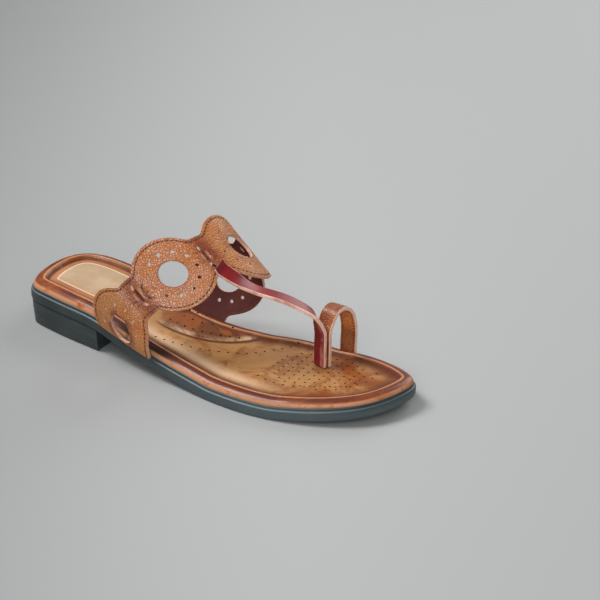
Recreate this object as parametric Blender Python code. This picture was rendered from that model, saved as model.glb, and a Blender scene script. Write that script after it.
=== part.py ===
# Flat toe-loop sandal for the right foot.
# It is modelled with the back of the heel at x = 0, the toe along +X, the big-toe side along +Y and the floor at
# z = 0, then carried by an empty that puts the middle of the heel's tread at the origin. Sizes are in metres.
import bpy
import numpy as np
from mathutils import Vector

for old in list(bpy.data.objects):
    bpy.data.objects.remove(old, do_unlink=True)

gap = 0.0003  # between two pieces that touch

# Sole: outsole and heel block
sole_length = 0.2565
sole_width = 0.086
sole_edge = 0.0084  # thickness of the outsole at its side
heel_rise = 0.0158  # underside of the outsole over the floor, at the seat
toe_spring = 0.0062
ledge = 0.0012  # width of the step near the top of the outsole's side
ledge_height = 0.80  # of sole_edge
heel_breast = 0.063  # front of the heel block, from the back of the sole
heel_inset = 0.0007
heel_taper = 0.0014
heel_corner = 0.0007
rest_x = 0.033  # middle of the heel's tread
rest_y = 0.002

# Footbed and heel pad
bed_inset = 0.0015  # from the outline of the sole
rim_width = 0.0055
rim_height = 0.0042
cup_depth = 0.0024
arch_lip = 0.0018  # rolled front edge of the arch cushion
arch_rise = 0.0032
arch_centre_x = 0.100
arch_centre_y = 0.032
arch_length = 0.048
arch_width = 0.0406
arch_start = 0.086
pad_inset = 0.0098
pad_length = 0.082
pad_front = 0.014  # length of its rounded front
pad_thickness = 0.0010

# Upper: band of four discs, centre strap and toe loop
leather = 0.0018
instep = 0.0635  # crest of the band over the top of the outsole
disc_radius = 0.0237
neck_half = 0.0130
neck_blend = 0.003
hole_radius = 0.0084
seat_blend = 0.024  # length over which the band's ends turn on to the edge of the sole
strap_width = 0.0088
strap_thickness = 0.0024
strap_start = 0.0095  # start of the centre strap, at a slit ahead of the middle of the band
strap_lap = 0.0145  # end of its stretch on top of the band
strap_aside = 0.0022  # of its start from the neck, towards the little-toe side
strap_lean = 0.25  # of its run over the band, sideways for each unit forwards
lap_gap = 0.0003  # between the flat strap and the curved band under it
loop_width = 0.0108
loop_thickness = 0.0024
post_x = 0.1954
post_y = 0.0128
post_turn = -12.0  # degrees, way that the width of the post points, from the toe's direction
post_stretch = 0.036
post_gap = 0.0007  # between the two straps of the post

stations = 48  # rows of the sole from heel to toe


def columns(names, *rows):
    """A table's columns by name."""
    return dict(zip(names.split(), np.array(rows, float).T))


# Half widths as shares of sole_width, along as a share of sole_length
plan = columns(
    "along outer inner",
    (0.00, -0.042, 0.042),
    (0.02, 0.226, 0.287),
    (0.07, 0.302, 0.396),
    (0.15, 0.346, 0.408),
    (0.27, 0.391, 0.345),
    (0.40, 0.452, 0.268),
    (0.52, 0.498, 0.312),
    (0.64, 0.537, 0.423),
    (0.74, 0.523, 0.459),
    (0.83, 0.447, 0.459),
    (0.91, 0.317, 0.412),
    (0.97, 0.131, 0.328),
    (1.00, -0.174, 0.174),
)

# Underside of the outsole: heel as a share of heel_rise, toe as a share of toe_spring
side = columns(
    "along heel toe",
    (0.00, 1.00, 0.00),
    (0.12, 1.00, 0.00),
    (0.20, 0.98, 0.00),
    (0.25, 0.89, 0.00),
    (0.30, 0.72, 0.00),
    (0.35, 0.555, 0.00),
    (0.40, 0.405, 0.00),
    (0.45, 0.283, 0.00),
    (0.50, 0.170, 0.00),
    (0.55, 0.075, 0.00),
    (0.60, 0.00, 0.00),
    (0.745, 0.00, 0.00),
    (0.80, 0.00, 0.16),
    (0.85, 0.00, 0.32),
    (0.90, 0.00, 0.50),
    (0.95, 0.00, 0.72),
    (1.00, 0.00, 1.00),
)

# Side of the outsole: inset as a share of ledge, height as a share of sole_edge
edge = columns(
    "inset height",
    (1.30, 0.00),
    (0.35, 0.06),
    (0.00, 0.17),
    (0.00, 0.70),
    (0.25, 0.77),
    (1.00, ledge_height),
    (1.00, 0.96),
    (1.35, 1.00),
)

# Top of the footbed inside its rounded rim: inset as a share of rim_width, rise as a share of rim_height,
# and dip as a share of cup_depth
bed = columns(
    "inset rise dip",
    (1.00, 1.00, 0.00),
    (1.08, 1.07, 0.00),
    (1.24, 1.07, 0.00),
    (1.34, 0.93, 0.00),
    (1.42, 0.92, 0.10),
    (1.54, 0.92, 0.45),
    (1.68, 0.92, 0.88),
    (1.82, 0.92, 1.00),
    (2.70, 0.92, 1.00),
)

# Along the footbed: depth of its cup as a share of cup_depth, height of its rim as a share of rim_height
cup = columns(
    "along depth rim",
    (0.00, 1.00, 1.00),
    (0.12, 1.00, 1.05),
    (0.25, 1.00, 1.00),
    (0.45, 0.60, 0.90),
    (0.65, 0.50, 0.88),
    (1.00, 0.50, 0.88),
)

# Middle line of the band, from the little-toe side over the instep: x as a share of sole_length, y of
# sole_width, height over the outsole as a share of instep; slope and turn of its width, in degrees; half
# width between two discs as a share of neck_half
band = columns(
    "x y height slope turn neck",
    (0.3396, -0.434, 0.000, 15.4, -8.0, 1.00),
    (0.3400, -0.468, 0.146, 27.0, -4.5, 1.00),
    (0.3895, -0.443, 0.559, 35.7, -2.8, 1.00),
    (0.4511, -0.312, 0.832, 37.0, -2.6, 1.00),
    (0.5025, -0.098, 1.000, 36.5, 0.1, 1.06),
    (0.5267, 0.171, 0.973, 42.4, 2.0, 1.00),
    (0.5068, 0.384, 0.723, 39.9, 1.9, 1.00),
    (0.4468, 0.394, 0.381, 30.5, 0.2, 1.00),
    (0.4074, 0.271, 0.000, 13.0, 0.2, 1.00),
)

# Free run of the centre strap, from the band to the post: x as a share of the way to the post, y as a share
# of sole_width, height over the outsole as a share of instep; turn of its width, in degrees
strap_run = columns(
    "x y height turn",
    (0.30, -0.030, 0.770, -68.0),
    (0.53, 0.023, 0.727, -70.0),
    (0.67, 0.055, 0.692, -68.0),
    (0.80, 0.083, 0.645, -62.0),
    (0.915, 0.112, 0.575, -46.0),
    (0.975, 0.120, 0.485, -24.0),
)

# Free run of the toe loop, from the post to the edge of the sole: x ahead of the post as a share of
# loop_width, across as a share of the way to the edge, height as a share of instep; turn in degrees
loop_run = columns(
    "x across height turn",
    (0.00, 0.105, 0.475, -8.0),
    (0.05, 0.20, 0.545, -3.0),
    (0.09, 0.38, 0.577, 0.0),
    (0.13, 0.58, 0.560, 0.0),
    (0.15, 0.78, 0.500, 0.0),
    (0.15, 0.93, 0.390, 0.0),
    (0.13, 1.01, 0.250, 0.0),
    (0.11, 1.01, 0.110, 0.0),
)


def spline(x, y, at):
    """Natural cubic curve through the points (x, y), read at at."""
    x, y = np.asarray(x, float), np.asarray(y, float)
    step = np.diff(x)
    slope = np.diff(y) / step
    bend = np.eye(len(x))
    pull = np.zeros(len(x))
    for i in range(1, len(x) - 1):
        bend[i, i - 1:i + 2] = step[i - 1], 2 * (step[i - 1] + step[i]), step[i]
        pull[i] = 6 * (slope[i] - slope[i - 1])
    curve = np.linalg.solve(bend, pull)
    i = np.clip(np.searchsorted(x, at) - 1, 0, len(x) - 2)
    after, before = at - x[i], x[i + 1] - at
    cubic = (curve[i] * before**3 + curve[i + 1] * after**3) / (6 * step[i])
    lower = (y[i] / step[i] - curve[i] * step[i] / 6) * before
    upper = (y[i + 1] / step[i] - curve[i + 1] * step[i] / 6) * after
    return cubic + lower + upper


def ramp(x, y, at):
    """Smooth curve through the points that never runs past them, so that flat stretches stay flat."""
    slope = np.diff(y) / np.diff(x)
    same_way = slope[:-1] * slope[1:] > 0
    inner = np.where(same_way, 2 * slope[:-1] * slope[1:] / np.where(same_way, slope[:-1] + slope[1:], 1), 0)
    lean = np.concatenate([slope[:1], inner, slope[-1:]])
    at = np.clip(at, x[0], x[-1])
    i = np.clip(np.searchsorted(x, at) - 1, 0, len(x) - 2)
    step = x[i + 1] - x[i]
    t = (at - x[i]) / step
    rise = (3 - 2 * t) * t * t
    return (1 - rise) * y[i] + rise * y[i + 1] + step * t * (1 - t) * ((1 - t) * lean[i] - t * lean[i + 1])


def ease(t):
    """0 to 1 with level ends."""
    t = np.clip(t, 0, 1)
    return t * t * (3 - 2 * t)


def unit(vectors):
    """Vectors at length 1."""
    return vectors / np.linalg.norm(vectors, axis=-1, keepdims=True)


def plan_point(turn):
    """Outline of the sole: turn 0 is the back of the heel, -1 and 1 the toe; the outer side is negative."""
    turn = (np.asarray(turn, float) + 1) % 2 - 1
    place = np.arccos(1 - 2 * plan["along"]) / np.pi
    once = np.concatenate([-place[:0:-1], place])
    across = np.concatenate([-plan["outer"][:0:-1], plan["inner"]])
    around = np.concatenate([once[-5:-1] - 2, once, once[1:5] + 2])
    across = np.concatenate([across[-5:-1], across, across[1:5]])
    x = sole_length * (1 - np.cos(np.pi * np.abs(turn))) / 2
    return np.stack([x, sole_width * spline(around, across, turn)], -1)


def sole_line(turn, inset):
    """Outline of the sole moved inwards by inset."""
    way = unit(plan_point(np.asarray(turn) + 0.004) - plan_point(np.asarray(turn) - 0.004))
    return plan_point(turn) + inset * np.stack([way[..., 1], -way[..., 0]], -1)


loop_turns = np.concatenate([-np.arange(stations + 1), np.arange(stations - 1, 0, -1)]) / stations


def under(x):
    """Underside of the outsole."""
    share = x / sole_length
    return heel_rise * ramp(side["along"], side["heel"], share) + toe_spring * ramp(side["along"], side["toe"], share)


def over(x):
    """Top of the outsole."""
    return under(x) + sole_edge


def on_ledge(x):
    """Height of the step in the outsole's side, where the ends of the upper stand."""
    return under(x) + ledge_height * sole_edge + gap


def with_height(flat, height):
    """Points of the plan with their heights."""
    return np.concatenate([flat, np.broadcast_to(height, flat.shape[:-1])[..., None]], -1)


dense_edge = sole_line(np.linspace(-1, 1, 481)[:-1], bed_inset)


def edge_distance(flat):
    """Distance of each point from the outline of the footbed."""
    return np.sqrt(((flat[..., None, :] - dense_edge) ** 2).sum(-1).min(-1))


def arch_cushion(flat):
    """Raised cushion under the arch, with a rolled edge."""
    away = np.hypot((flat[..., 0] - arch_centre_x) / arch_length, (flat[..., 1] - arch_centre_y) / arch_width)
    raised = arch_lip * ease((1 - away) / 0.14) + arch_rise * ease((1 - away) / 0.9)
    return raised * ease((flat[..., 0] - arch_start) / 0.020)


def bed_top(flat):
    """Top of the footbed."""
    inset = edge_distance(flat) / rim_width
    rounded = np.sqrt(np.clip(1 - (1 - np.clip(inset, 0, 1)) ** 2, 0, 1))
    rise = np.where(inset < 1, rounded, ramp(bed["inset"], bed["rise"], inset))
    along = flat[..., 0] / sole_length
    rise = rise * ramp(cup["along"], cup["rim"], along)
    depth = cup_depth * ramp(cup["along"], cup["depth"], along)
    dip = depth * ramp(bed["inset"], bed["dip"], inset)
    cushion = arch_cushion(flat) * ease((inset - 1.3) / 0.9)
    return over(flat[..., 0]) + gap + rim_height * rise - dip + cushion


def material(name, colour, roughness):
    """Plain surface for one piece."""
    made = bpy.data.materials.new(name)
    made.use_nodes = True
    shader = made.node_tree.nodes["Principled BSDF"]
    shader.inputs["Base Color"].default_value = (*colour, 1)
    shader.inputs["Roughness"].default_value = roughness
    shader.inputs["Metallic"].default_value = 0
    return made


carrier = bpy.data.objects.new("sandal", None)
bpy.context.collection.objects.link(carrier)
carrier.location = Vector((-rest_x, -rest_y, 0))


def piece(name, points, faces, surface):
    """One named object on the carrier."""
    mesh = bpy.data.meshes.new(name)
    mesh.from_pydata([tuple(point) for point in points], [], [tuple(face) for face in faces])
    mesh.validate()
    mesh.materials.append(surface)
    made = bpy.data.objects.new(name, mesh)
    bpy.context.collection.objects.link(made)
    made.parent = carrier
    return made


def cap(loop, first, across, height, points, faces, down):
    """Rows that close a loop from its outer to its inner side; first is the index of the loop's first point."""
    count = len(loop)
    rows = [[first]]
    for k in range(1, (count + 1) // 2):
        ends = first + k, first + count - k
        share = np.arange(1, across)[:, None] / across
        inner = loop[k, :2] * (1 - share) + loop[count - k, :2] * share
        if 2 * k == count - 1:
            inner = inner[:0]
        start = len(points)
        points.extend(with_height(inner, height(inner)))
        rows.append([ends[0], *range(start, len(points)), ends[1]])
    if count % 2 == 0:
        rows.append([first + count // 2])
    for near, far in zip(rows, rows[1:]):
        for j in range(max(len(near), len(far)) - 1):
            corners = [near[min(j, len(near) - 1)], far[min(j, len(far) - 1)]]
            corners += [far[min(j + 1, len(far) - 1)], near[min(j + 1, len(near) - 1)]]
            face = list(dict.fromkeys(corners))
            faces.append(face[::-1] if down else face)


def stack(name, rings, across, floor, roof, surface):
    """Closed solid from rings in plan order, lowest first, closed by rows at both ends."""
    count = len(rings[0])
    points = [point for ring in rings for point in ring]
    faces = []
    for level in range(len(rings) - 1):
        for k in range(count):
            near, far = level * count + k, level * count + (k + 1) % count
            faces.append((near, far, far + count, near + count))
    cap(rings[0], 0, 2, floor, points, faces, True)
    cap(rings[-1], (len(rings) - 1) * count, across, roof, points, faces, False)
    piece(name, points, faces, surface)


def sheet(name, points, faces, thickness, surface):
    """Leather of even thickness, half of it on each side of the given faces."""
    made = piece(name, points, faces, surface)
    wall = made.modifiers.new("wall", "SOLIDIFY")
    wall.thickness = thickness
    wall.offset = 0
    wall.use_even_offset = True
    wall.use_quality_normals = True


def make_outsole(surface):
    """Black sole with a rounded tread edge and a step near its top."""
    rings = []
    for inset, height in zip(edge["inset"] * ledge, edge["height"]):
        flat = sole_line(loop_turns, inset)
        rings.append(with_height(flat, under(flat[:, 0]) + height * sole_edge))
    stack("outsole", rings, 2, lambda flat: under(flat[:, 0]), lambda flat: over(flat[:, 0]), surface)


def make_heel(surface):
    """Heel block from the back of the sole to its straight breast."""
    reach = np.arccos(1 - 2 * heel_breast / sole_length) / np.pi
    rows = 16
    turns = reach * np.concatenate([-np.arange(rows + 1), np.arange(rows, 0, -1)]) / rows
    rings = []
    for inset, share in ((heel_taper + heel_corner, 0.0), (heel_taper, 0.06), (0.0, 0.93), (heel_corner, 1.0)):
        flat = sole_line(turns, heel_inset + inset)
        rings.append(with_height(flat, share * (under(flat[:, 0]) - gap)))
    stack("heel", rings, 2, lambda flat: 0 * flat[:, 0], lambda flat: under(flat[:, 0]) - gap, surface)


def make_footbed(surface):
    """Leather-wrapped footbed with its rounded rim, ridge, cup and arch cushion."""
    arcs = rim_width * (1 - np.cos(np.radians([12, 32, 52, 70])))
    insets = np.concatenate([arcs, bed["inset"] * rim_width])
    base = sole_line(loop_turns, bed_inset)
    rings = [with_height(base, over(base[:, 0]) + gap)]
    for inset in insets:
        flat = sole_line(loop_turns, bed_inset + inset)
        rings.append(with_height(flat, bed_top(flat)))
    stack("footbed", rings, 8, lambda flat: over(flat[:, 0]) + gap, bed_top, surface)


def pad_loop(inset):
    """Outline of the heel pad: the sole's outline as far as the pad's rounded front."""
    side_rows, front_rows = 14, 7
    front_start = pad_length - pad_front
    reach = np.arccos(1 - 2 * front_start / sole_length) / np.pi
    angle = np.linspace(0, np.pi / 2, front_rows)[1:]
    front_x = front_start + (pad_front - inset) * np.sin(angle) ** 0.7
    front_y = np.clip(np.cos(angle), 0, 1) ** 0.7
    total = bed_inset + pad_inset + inset
    outer = sole_line(-reach * np.arange(side_rows + 1) / side_rows, total)
    inner = sole_line(reach * np.arange(side_rows + 1) / side_rows, total)
    middle = (outer[-1] + inner[-1]) / 2
    outer_front = np.stack([front_x, middle[1] + (outer[-1, 1] - middle[1]) * front_y], -1)
    inner_front = np.stack([front_x, middle[1] + (inner[-1, 1] - middle[1]) * front_y], -1)
    return np.concatenate([outer, outer_front, inner_front[-2::-1], inner[:0:-1]])


def make_pad(surface):
    """Thin heel pad with a rounded front."""
    rings = []
    for lift, inset in ((0.0, 0.0), (0.6, 0.0), (1.0, 0.4 * pad_thickness)):
        flat = pad_loop(inset)
        rings.append(with_height(flat, bed_top(flat) + gap + lift * pad_thickness))

    def top(flat):
        return bed_top(flat) + gap + pad_thickness

    stack("heel_pad", rings, 6, lambda flat: bed_top(flat) + gap, top, surface)


def band_frame(place):
    """Middle point and width direction of the band at each place, a length along its middle line."""
    x = band["x"] * sole_length
    middle = np.stack([x, band["y"] * sole_width, over(x) + band["height"] * instep], -1)
    knots = np.concatenate([[0], np.cumsum(np.linalg.norm(np.diff(middle, axis=0), axis=1))])
    centre = np.stack([spline(knots, middle[:, i], place) for i in range(3)], -1)
    slope = np.radians(spline(knots, band["slope"], place))
    turn = np.radians(spline(knots, band["turn"], place))
    width = np.stack([np.cos(slope) * np.cos(turn), np.cos(slope) * np.sin(turn), -np.sin(slope)], -1)
    return centre, width, knots


def band_half(place):
    """Half width of the band: a disc round each hole, joined by necks."""
    knots = band_frame(0.0)[2]
    half = neck_half * ramp(knots, band["neck"], place)
    for hole in knots[1::2]:
        disc = np.sqrt(np.clip(disc_radius**2 - (place - hole) ** 2, 0, None))
        blend = np.clip(neck_blend - np.abs(half - disc), 0, None)
        half = np.maximum(half, disc) + blend**2 / (4 * neck_blend)
    return half


def edge_at(x, inner, inset):
    """Point of the sole's outline, moved inwards, that lies at x on the inner or outer side."""
    line = sole_line(np.linspace(0.02, 0.98, 300) * (1 if inner else -1), inset)
    return np.stack([x, np.interp(x, line[:, 0], line[:, 1])], -1)


def band_point(place, across):
    """Middle surface of the band, its ends set on the edge of the sole beside the footbed."""
    centre, width, knots = band_frame(place)
    point = centre + across[..., None] * width
    seat_inset = ledge - gap - leather / 2
    for end, inner in ((0.0, False), (knots[-1], True)):
        end_centre, end_width, _ = band_frame(np.full_like(place, end))
        ruled = end_centre + across[..., None] * end_width
        foot = edge_at(ruled[..., 0], inner, seat_inset)
        seated = with_height(foot, on_ledge(foot[..., 0]))
        near = 1 - ease(np.abs(place - end) / seat_blend)
        point = point + near[..., None] * (seated - ruled)
    return point


def band_out(place, across):
    """Outward direction of the band."""
    step = 0.0005
    along = band_point(place + step, across) - band_point(place - step, across)
    wide = band_point(place, across + step) - band_point(place, across - step)
    return unit(np.cross(wide, along))


def make_band(surface):
    """Band of four pierced discs: each disc is a ring of faces from its hole to its outline."""
    knots = band_frame(0.0)[2]
    edge_steps, neck_steps, rings = 15, 5, 5
    points, faces, known = [], [], {}
    for k in range(4):
        start, hole, end = knots[2 * k], knots[2 * k + 1], knots[2 * k + 2]
        run = start + (end - start) * (1 - np.cos(np.linspace(0, np.pi, edge_steps))) / 2
        across = np.linspace(1, -1, neck_steps)[1:-1]
        toe_side = np.stack([run, band_half(run)], -1)
        far = np.stack([np.full(len(across), end), across * band_half(np.array([end]))], -1)
        near = np.stack([np.full(len(across), start), -across * band_half(np.array([start]))], -1)
        outline = np.concatenate([toe_side, far, toe_side[::-1] * (1, -1), near])
        angle = np.arctan2(outline[:, 1], outline[:, 0] - hole)
        rim = np.stack([hole + hole_radius * np.cos(angle), hole_radius * np.sin(angle)], -1)
        index = []
        for share in np.linspace(0, 1, rings):
            ring = rim + (outline - rim) * share
            solid = band_point(ring[:, 0], ring[:, 1])
            row = []
            for point in solid:
                key = tuple(np.round(point, 6))
                if key not in known:
                    known[key] = len(points)
                    points.append(point)
                row.append(known[key])
            index.append(row)
        for inner, outer in zip(index, index[1:]):
            for j in range(len(inner)):
                n = (j + 1) % len(inner)
                faces.append((inner[j], inner[n], outer[n], outer[j]))
    sheet("vamp_band", points, faces, leather, surface)


def ribbon(name, centres, widths, width, thickness, surface):
    """Strap along its middle line; widths are the directions across it."""
    across = np.linspace(-0.5, 0.5, 4)
    points = [centre + share * width * way for centre, way in zip(centres, widths) for share in across]
    faces = []
    for i in range(len(centres) - 1):
        for j in range(len(across) - 1):
            first = i * len(across) + j
            faces.append((first, first + 1, first + 1 + len(across), first + len(across)))
    sheet(name, points, faces, thickness, surface)


def along_curve(points, ways, count):
    """Even steps along a smooth curve through the points, with the directions across it."""
    knots = np.concatenate([[0], np.cumsum(np.linalg.norm(np.diff(points, axis=0), axis=1))])
    at = np.linspace(0, knots[-1], count)
    centres = np.stack([spline(knots, points[:, i], at) for i in range(3)], -1)
    across = np.stack([ramp(knots, ways[:, i], at) for i in range(3)], -1)
    lengthwise = unit(np.gradient(centres, axis=0))
    across = across - (across * lengthwise).sum(-1, keepdims=True) * lengthwise
    return centres, unit(across)


def level_way(turn):
    """Level direction at turn degrees from the toe's direction."""
    turn = np.radians(np.asarray(turn, float))
    return np.stack([np.cos(turn), np.sin(turn), 0 * turn], -1)


post_rises = np.outer([0.0, 0.22, 0.44, 0.60], [0.0, 0.0, post_stretch])


def post_foot(shift):
    """Foot of one strap of the post, shift metres from its middle towards the big-toe side."""
    aside = level_way(post_turn + 90) * shift
    flat = np.array([post_x, post_y]) + aside[:2]
    ends = flat + np.array([[-0.5], [0.0], [0.5]]) * loop_width * level_way(post_turn)[:2]
    return with_height(flat, bed_top(ends).max() + 2 * gap)


def make_strap(surface):
    """Centre strap from the band's neck to the post, where it turns down edge on."""
    laps = np.linspace(strap_start, strap_lap, 3)
    places = band_frame(0.0)[2][4] - strap_aside + strap_lean * (laps - strap_start)
    above = leather / 2 + lap_gap + strap_thickness / 2
    lapped = band_point(places, laps) + above * band_out(places, laps)
    lap_way = unit(np.cross(lapped[-1] - lapped[0], band_out(places, laps)))
    foot = post_foot(-(strap_thickness + post_gap) / 2)
    x = lapped[-1, 0] + strap_run["x"] * (post_x - lapped[-1, 0])
    free = np.stack([x, strap_run["y"] * sole_width, over(x) + strap_run["height"] * instep], -1)
    points = np.concatenate([lapped, free, (foot + post_rises)[::-1]])
    turns = np.concatenate([strap_run["turn"], [post_turn] * len(post_rises)])
    ways = np.concatenate([lap_way, level_way(turns)])
    centres, across = along_curve(points, ways, 44)
    ribbon("t_strap", centres, across, strap_width, strap_thickness, surface)


def make_loop(surface):
    """Toe loop from the post over the big toe to the inner edge of the sole."""
    foot = post_foot((loop_thickness + post_gap) / 2)
    seat_x = post_x + loop_run["x"][-1] * loop_width
    landing = edge_at(np.array(seat_x), True, ledge - gap - loop_thickness / 2)
    seat = with_height(landing, on_ledge(landing[0] + np.array([-0.5, 0.5]) * loop_width).max())
    x = post_x + loop_run["x"] * loop_width
    y = foot[1] + loop_run["across"] * (landing[1] - foot[1])
    free = np.stack([x, y, over(x) + loop_run["height"] * instep], -1)
    points = np.concatenate([foot + post_rises, free, [seat]])
    turns = np.concatenate([[post_turn] * len(post_rises), loop_run["turn"], [0.0]])
    centres, across = along_curve(points, level_way(turns), 40)
    ribbon("toe_loop", centres, across, loop_width, loop_thickness, surface)


make_outsole(material("black_rubber", (0.030, 0.036, 0.038), 0.42))
make_heel(material("black_stack", (0.028, 0.034, 0.035), 0.45))
make_footbed(material("brown_leather", (0.36, 0.16, 0.055), 0.38))
make_pad(material("beige_suede", (0.46, 0.31, 0.18), 0.65))
make_band(material("tan_leather", (0.50, 0.21, 0.10), 0.45))
make_strap(material("wine_leather", (0.30, 0.028, 0.030), 0.35))
make_loop(material("tan_loop_leather", (0.48, 0.20, 0.09), 0.45))
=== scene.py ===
import math

import bpy
import numpy as np
from mathutils import Matrix, Vector


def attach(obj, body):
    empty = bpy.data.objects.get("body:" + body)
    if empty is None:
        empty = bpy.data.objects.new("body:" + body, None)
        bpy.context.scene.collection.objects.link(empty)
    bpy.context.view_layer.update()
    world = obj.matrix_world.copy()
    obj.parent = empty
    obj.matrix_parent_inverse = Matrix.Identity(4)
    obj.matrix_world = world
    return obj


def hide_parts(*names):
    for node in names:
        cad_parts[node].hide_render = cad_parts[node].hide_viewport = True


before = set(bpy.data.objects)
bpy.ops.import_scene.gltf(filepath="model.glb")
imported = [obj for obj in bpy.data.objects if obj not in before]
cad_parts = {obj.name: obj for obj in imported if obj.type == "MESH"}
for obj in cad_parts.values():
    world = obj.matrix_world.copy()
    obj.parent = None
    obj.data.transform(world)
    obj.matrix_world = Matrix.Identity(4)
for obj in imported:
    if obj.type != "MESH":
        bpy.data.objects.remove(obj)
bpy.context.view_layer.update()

# Flat toe-loop sandal for the right foot. Lengths are in metres. The curves of the sole and the straps are
# worked out with the back of the heel at x = 0 and the toe along +X, then moved so that the middle of the
# heel's tread is the origin.
restPoint = np.array([0.033, 0.002, 0.0])
gap = 0.0003


# small tools

def columns(names, *rows):
    # a table's columns by name
    return dict(zip(names.split(), np.array(rows, float).T))


def spline(x, y, at):
    # natural cubic curve through the points (x, y): the bends at the points solve one linear system
    x, y = np.asarray(x, float), np.asarray(y, float)
    step = np.diff(x)
    slope = np.diff(y) / step
    bend = np.eye(len(x))
    pull = np.zeros(len(x))
    for i in range(1, len(x) - 1):
        bend[i, i - 1:i + 2] = step[i - 1], 2 * (step[i - 1] + step[i]), step[i]
        pull[i] = 6 * (slope[i] - slope[i - 1])
    curve = np.linalg.solve(bend, pull)
    i = np.clip(np.searchsorted(x, at) - 1, 0, len(x) - 2)
    after, before = at - x[i], x[i + 1] - at
    cubic = (curve[i] * before**3 + curve[i + 1] * after**3) / (6 * step[i])
    lower = (y[i] / step[i] - curve[i] * step[i] / 6) * before
    upper = (y[i + 1] / step[i] - curve[i + 1] * step[i] / 6) * after
    return cubic + lower + upper


def ramp(x, y, at):
    # smooth curve through the points that never runs past them
    slope = np.diff(y) / np.diff(x)
    sameWay = slope[:-1] * slope[1:] > 0
    inner = np.where(sameWay, 2 * slope[:-1] * slope[1:] / np.where(sameWay, slope[:-1] + slope[1:], 1), 0)
    lean = np.concatenate([slope[:1], inner, slope[-1:]])
    at = np.clip(at, x[0], x[-1])
    i = np.clip(np.searchsorted(x, at) - 1, 0, len(x) - 2)
    step = x[i + 1] - x[i]
    t = (at - x[i]) / step
    rise = (3 - 2 * t) * t * t
    return (1 - rise) * y[i] + rise * y[i + 1] + step * t * (1 - t) * ((1 - t) * lean[i] - t * lean[i + 1])


def ease(t):
    # 0 to 1 with level ends
    t = np.clip(t, 0, 1)
    return t * t * (3 - 2 * t)


def unit(vectors):
    # each vector over its own length
    return vectors / np.linalg.norm(vectors, axis=-1, keepdims=True)


def withHeight(flat, height):
    # points of the plan with their heights
    return np.concatenate([flat, np.broadcast_to(height, flat.shape[:-1])[..., None]], -1)


def gridFaces(index, closed=False):
    # quads between the rows of a matrix of point numbers; closed joins its last column to its first
    if closed:
        index = np.concatenate([index, index[:, :1]], 1)
    near, far = index[:-1], index[1:]
    return np.stack([near[:, :-1], near[:, 1:], far[:, 1:], far[:, :-1]], -1).reshape(-1, 4)


def meshFrom(name, points, faces, finishes, faceFinish=None, fields=None):
    # One mesh object at the origin. Faces are rows of four point numbers, two neighbours equal in a triangle.
    # fields are values per point, kept as attributes for the finishes.
    points = np.asarray(points, float).reshape(-1, 3) - restPoint
    faces = np.asarray(faces)
    keep = faces != np.roll(faces, 1, axis=1)
    sizes = keep.sum(1)
    corners = faces[keep]
    mesh = bpy.data.meshes.new(name)
    mesh.vertices.add(len(points))
    mesh.vertices.foreach_set("co", points.ravel())
    mesh.loops.add(len(corners))
    mesh.loops.foreach_set("vertex_index", corners.astype(np.int32))
    mesh.polygons.add(len(faces))
    mesh.polygons.foreach_set("loop_start", (np.cumsum(sizes) - sizes).astype(np.int32))
    for surface in finishes:
        mesh.materials.append(surface)
    if faceFinish is not None:
        mesh.polygons.foreach_set("material_index", np.asarray(faceFinish, np.int32))
    giveFields(mesh, fields or {})
    mesh.update(calc_edges=True)
    mesh.validate()
    mesh.shade_smooth()
    made = bpy.data.objects.new(name, mesh)
    bpy.context.collection.objects.link(made)
    return made


def settle(piece):
    # modifiers applied: the evaluated mesh becomes the piece's own
    graph = bpy.context.evaluated_depsgraph_get()
    made = bpy.data.meshes.new_from_object(piece.evaluated_get(graph))
    piece.modifiers.clear()
    piece.data = made
    return piece


def coords(mesh):
    # the mesh's points as rows
    found = np.empty(len(mesh.vertices) * 3, np.float32)
    mesh.vertices.foreach_get("co", found)
    return found.reshape(-1, 3).astype(float)


def giveFields(mesh, fields):
    # values per point, kept as attributes for the finishes
    for key, values in fields.items():
        held = mesh.attributes.new(key, "FLOAT", "POINT")
        held.data.foreach_set("value", np.asarray(values, np.float32).ravel())


def pegs(centres, first, second, axes, sides=12, narrow=1.0):
    # One oval peg on each centre: rings of sides points at -axis and +axis, the half widths given as vectors;
    # narrow scales the lower ring. Returns points and faces.
    angle = np.linspace(0, 2 * np.pi, sides, endpoint=False)
    oval = np.cos(angle)[None, :, None] * first[:, None] + np.sin(angle)[None, :, None] * second[:, None]
    low = centres[:, None] - axes[:, None] + narrow * oval
    high = centres[:, None] + axes[:, None] + oval
    points = np.concatenate([low, high, (centres - axes)[:, None], (centres + axes)[:, None]], 1)
    here, after = np.arange(sides), np.roll(np.arange(sides), -1)
    wall = np.stack([here, after, after + sides, here + sides], -1)
    bottom = np.stack([after, here, np.full(sides, 2 * sides), np.full(sides, 2 * sides)], -1)
    tip = np.full(sides, 2 * sides + 1)
    top = np.stack([here + sides, after + sides, tip, tip], -1)
    faces = np.concatenate([wall, bottom, top])
    shift = (np.arange(len(centres)) * (2 * sides + 2))[:, None, None]
    return points.reshape(-1, 3), (faces[None] + shift).reshape(-1, 4)


def pierce(piece, points, faces, finishNumber):
    # cuts the pegs out of the piece; the walls of the holes take the finish of that number
    surfaces = list(piece.data.materials)
    cutter = meshFrom("pegs", points, faces, surfaces, np.full(len(faces), finishNumber))
    cut = piece.modifiers.new("holes", "BOOLEAN")
    cut.operation = "DIFFERENCE"
    cut.solver = "MANIFOLD"
    cut.object = cutter
    settle(piece)
    bpy.data.objects.remove(cutter, do_unlink=True)


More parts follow.
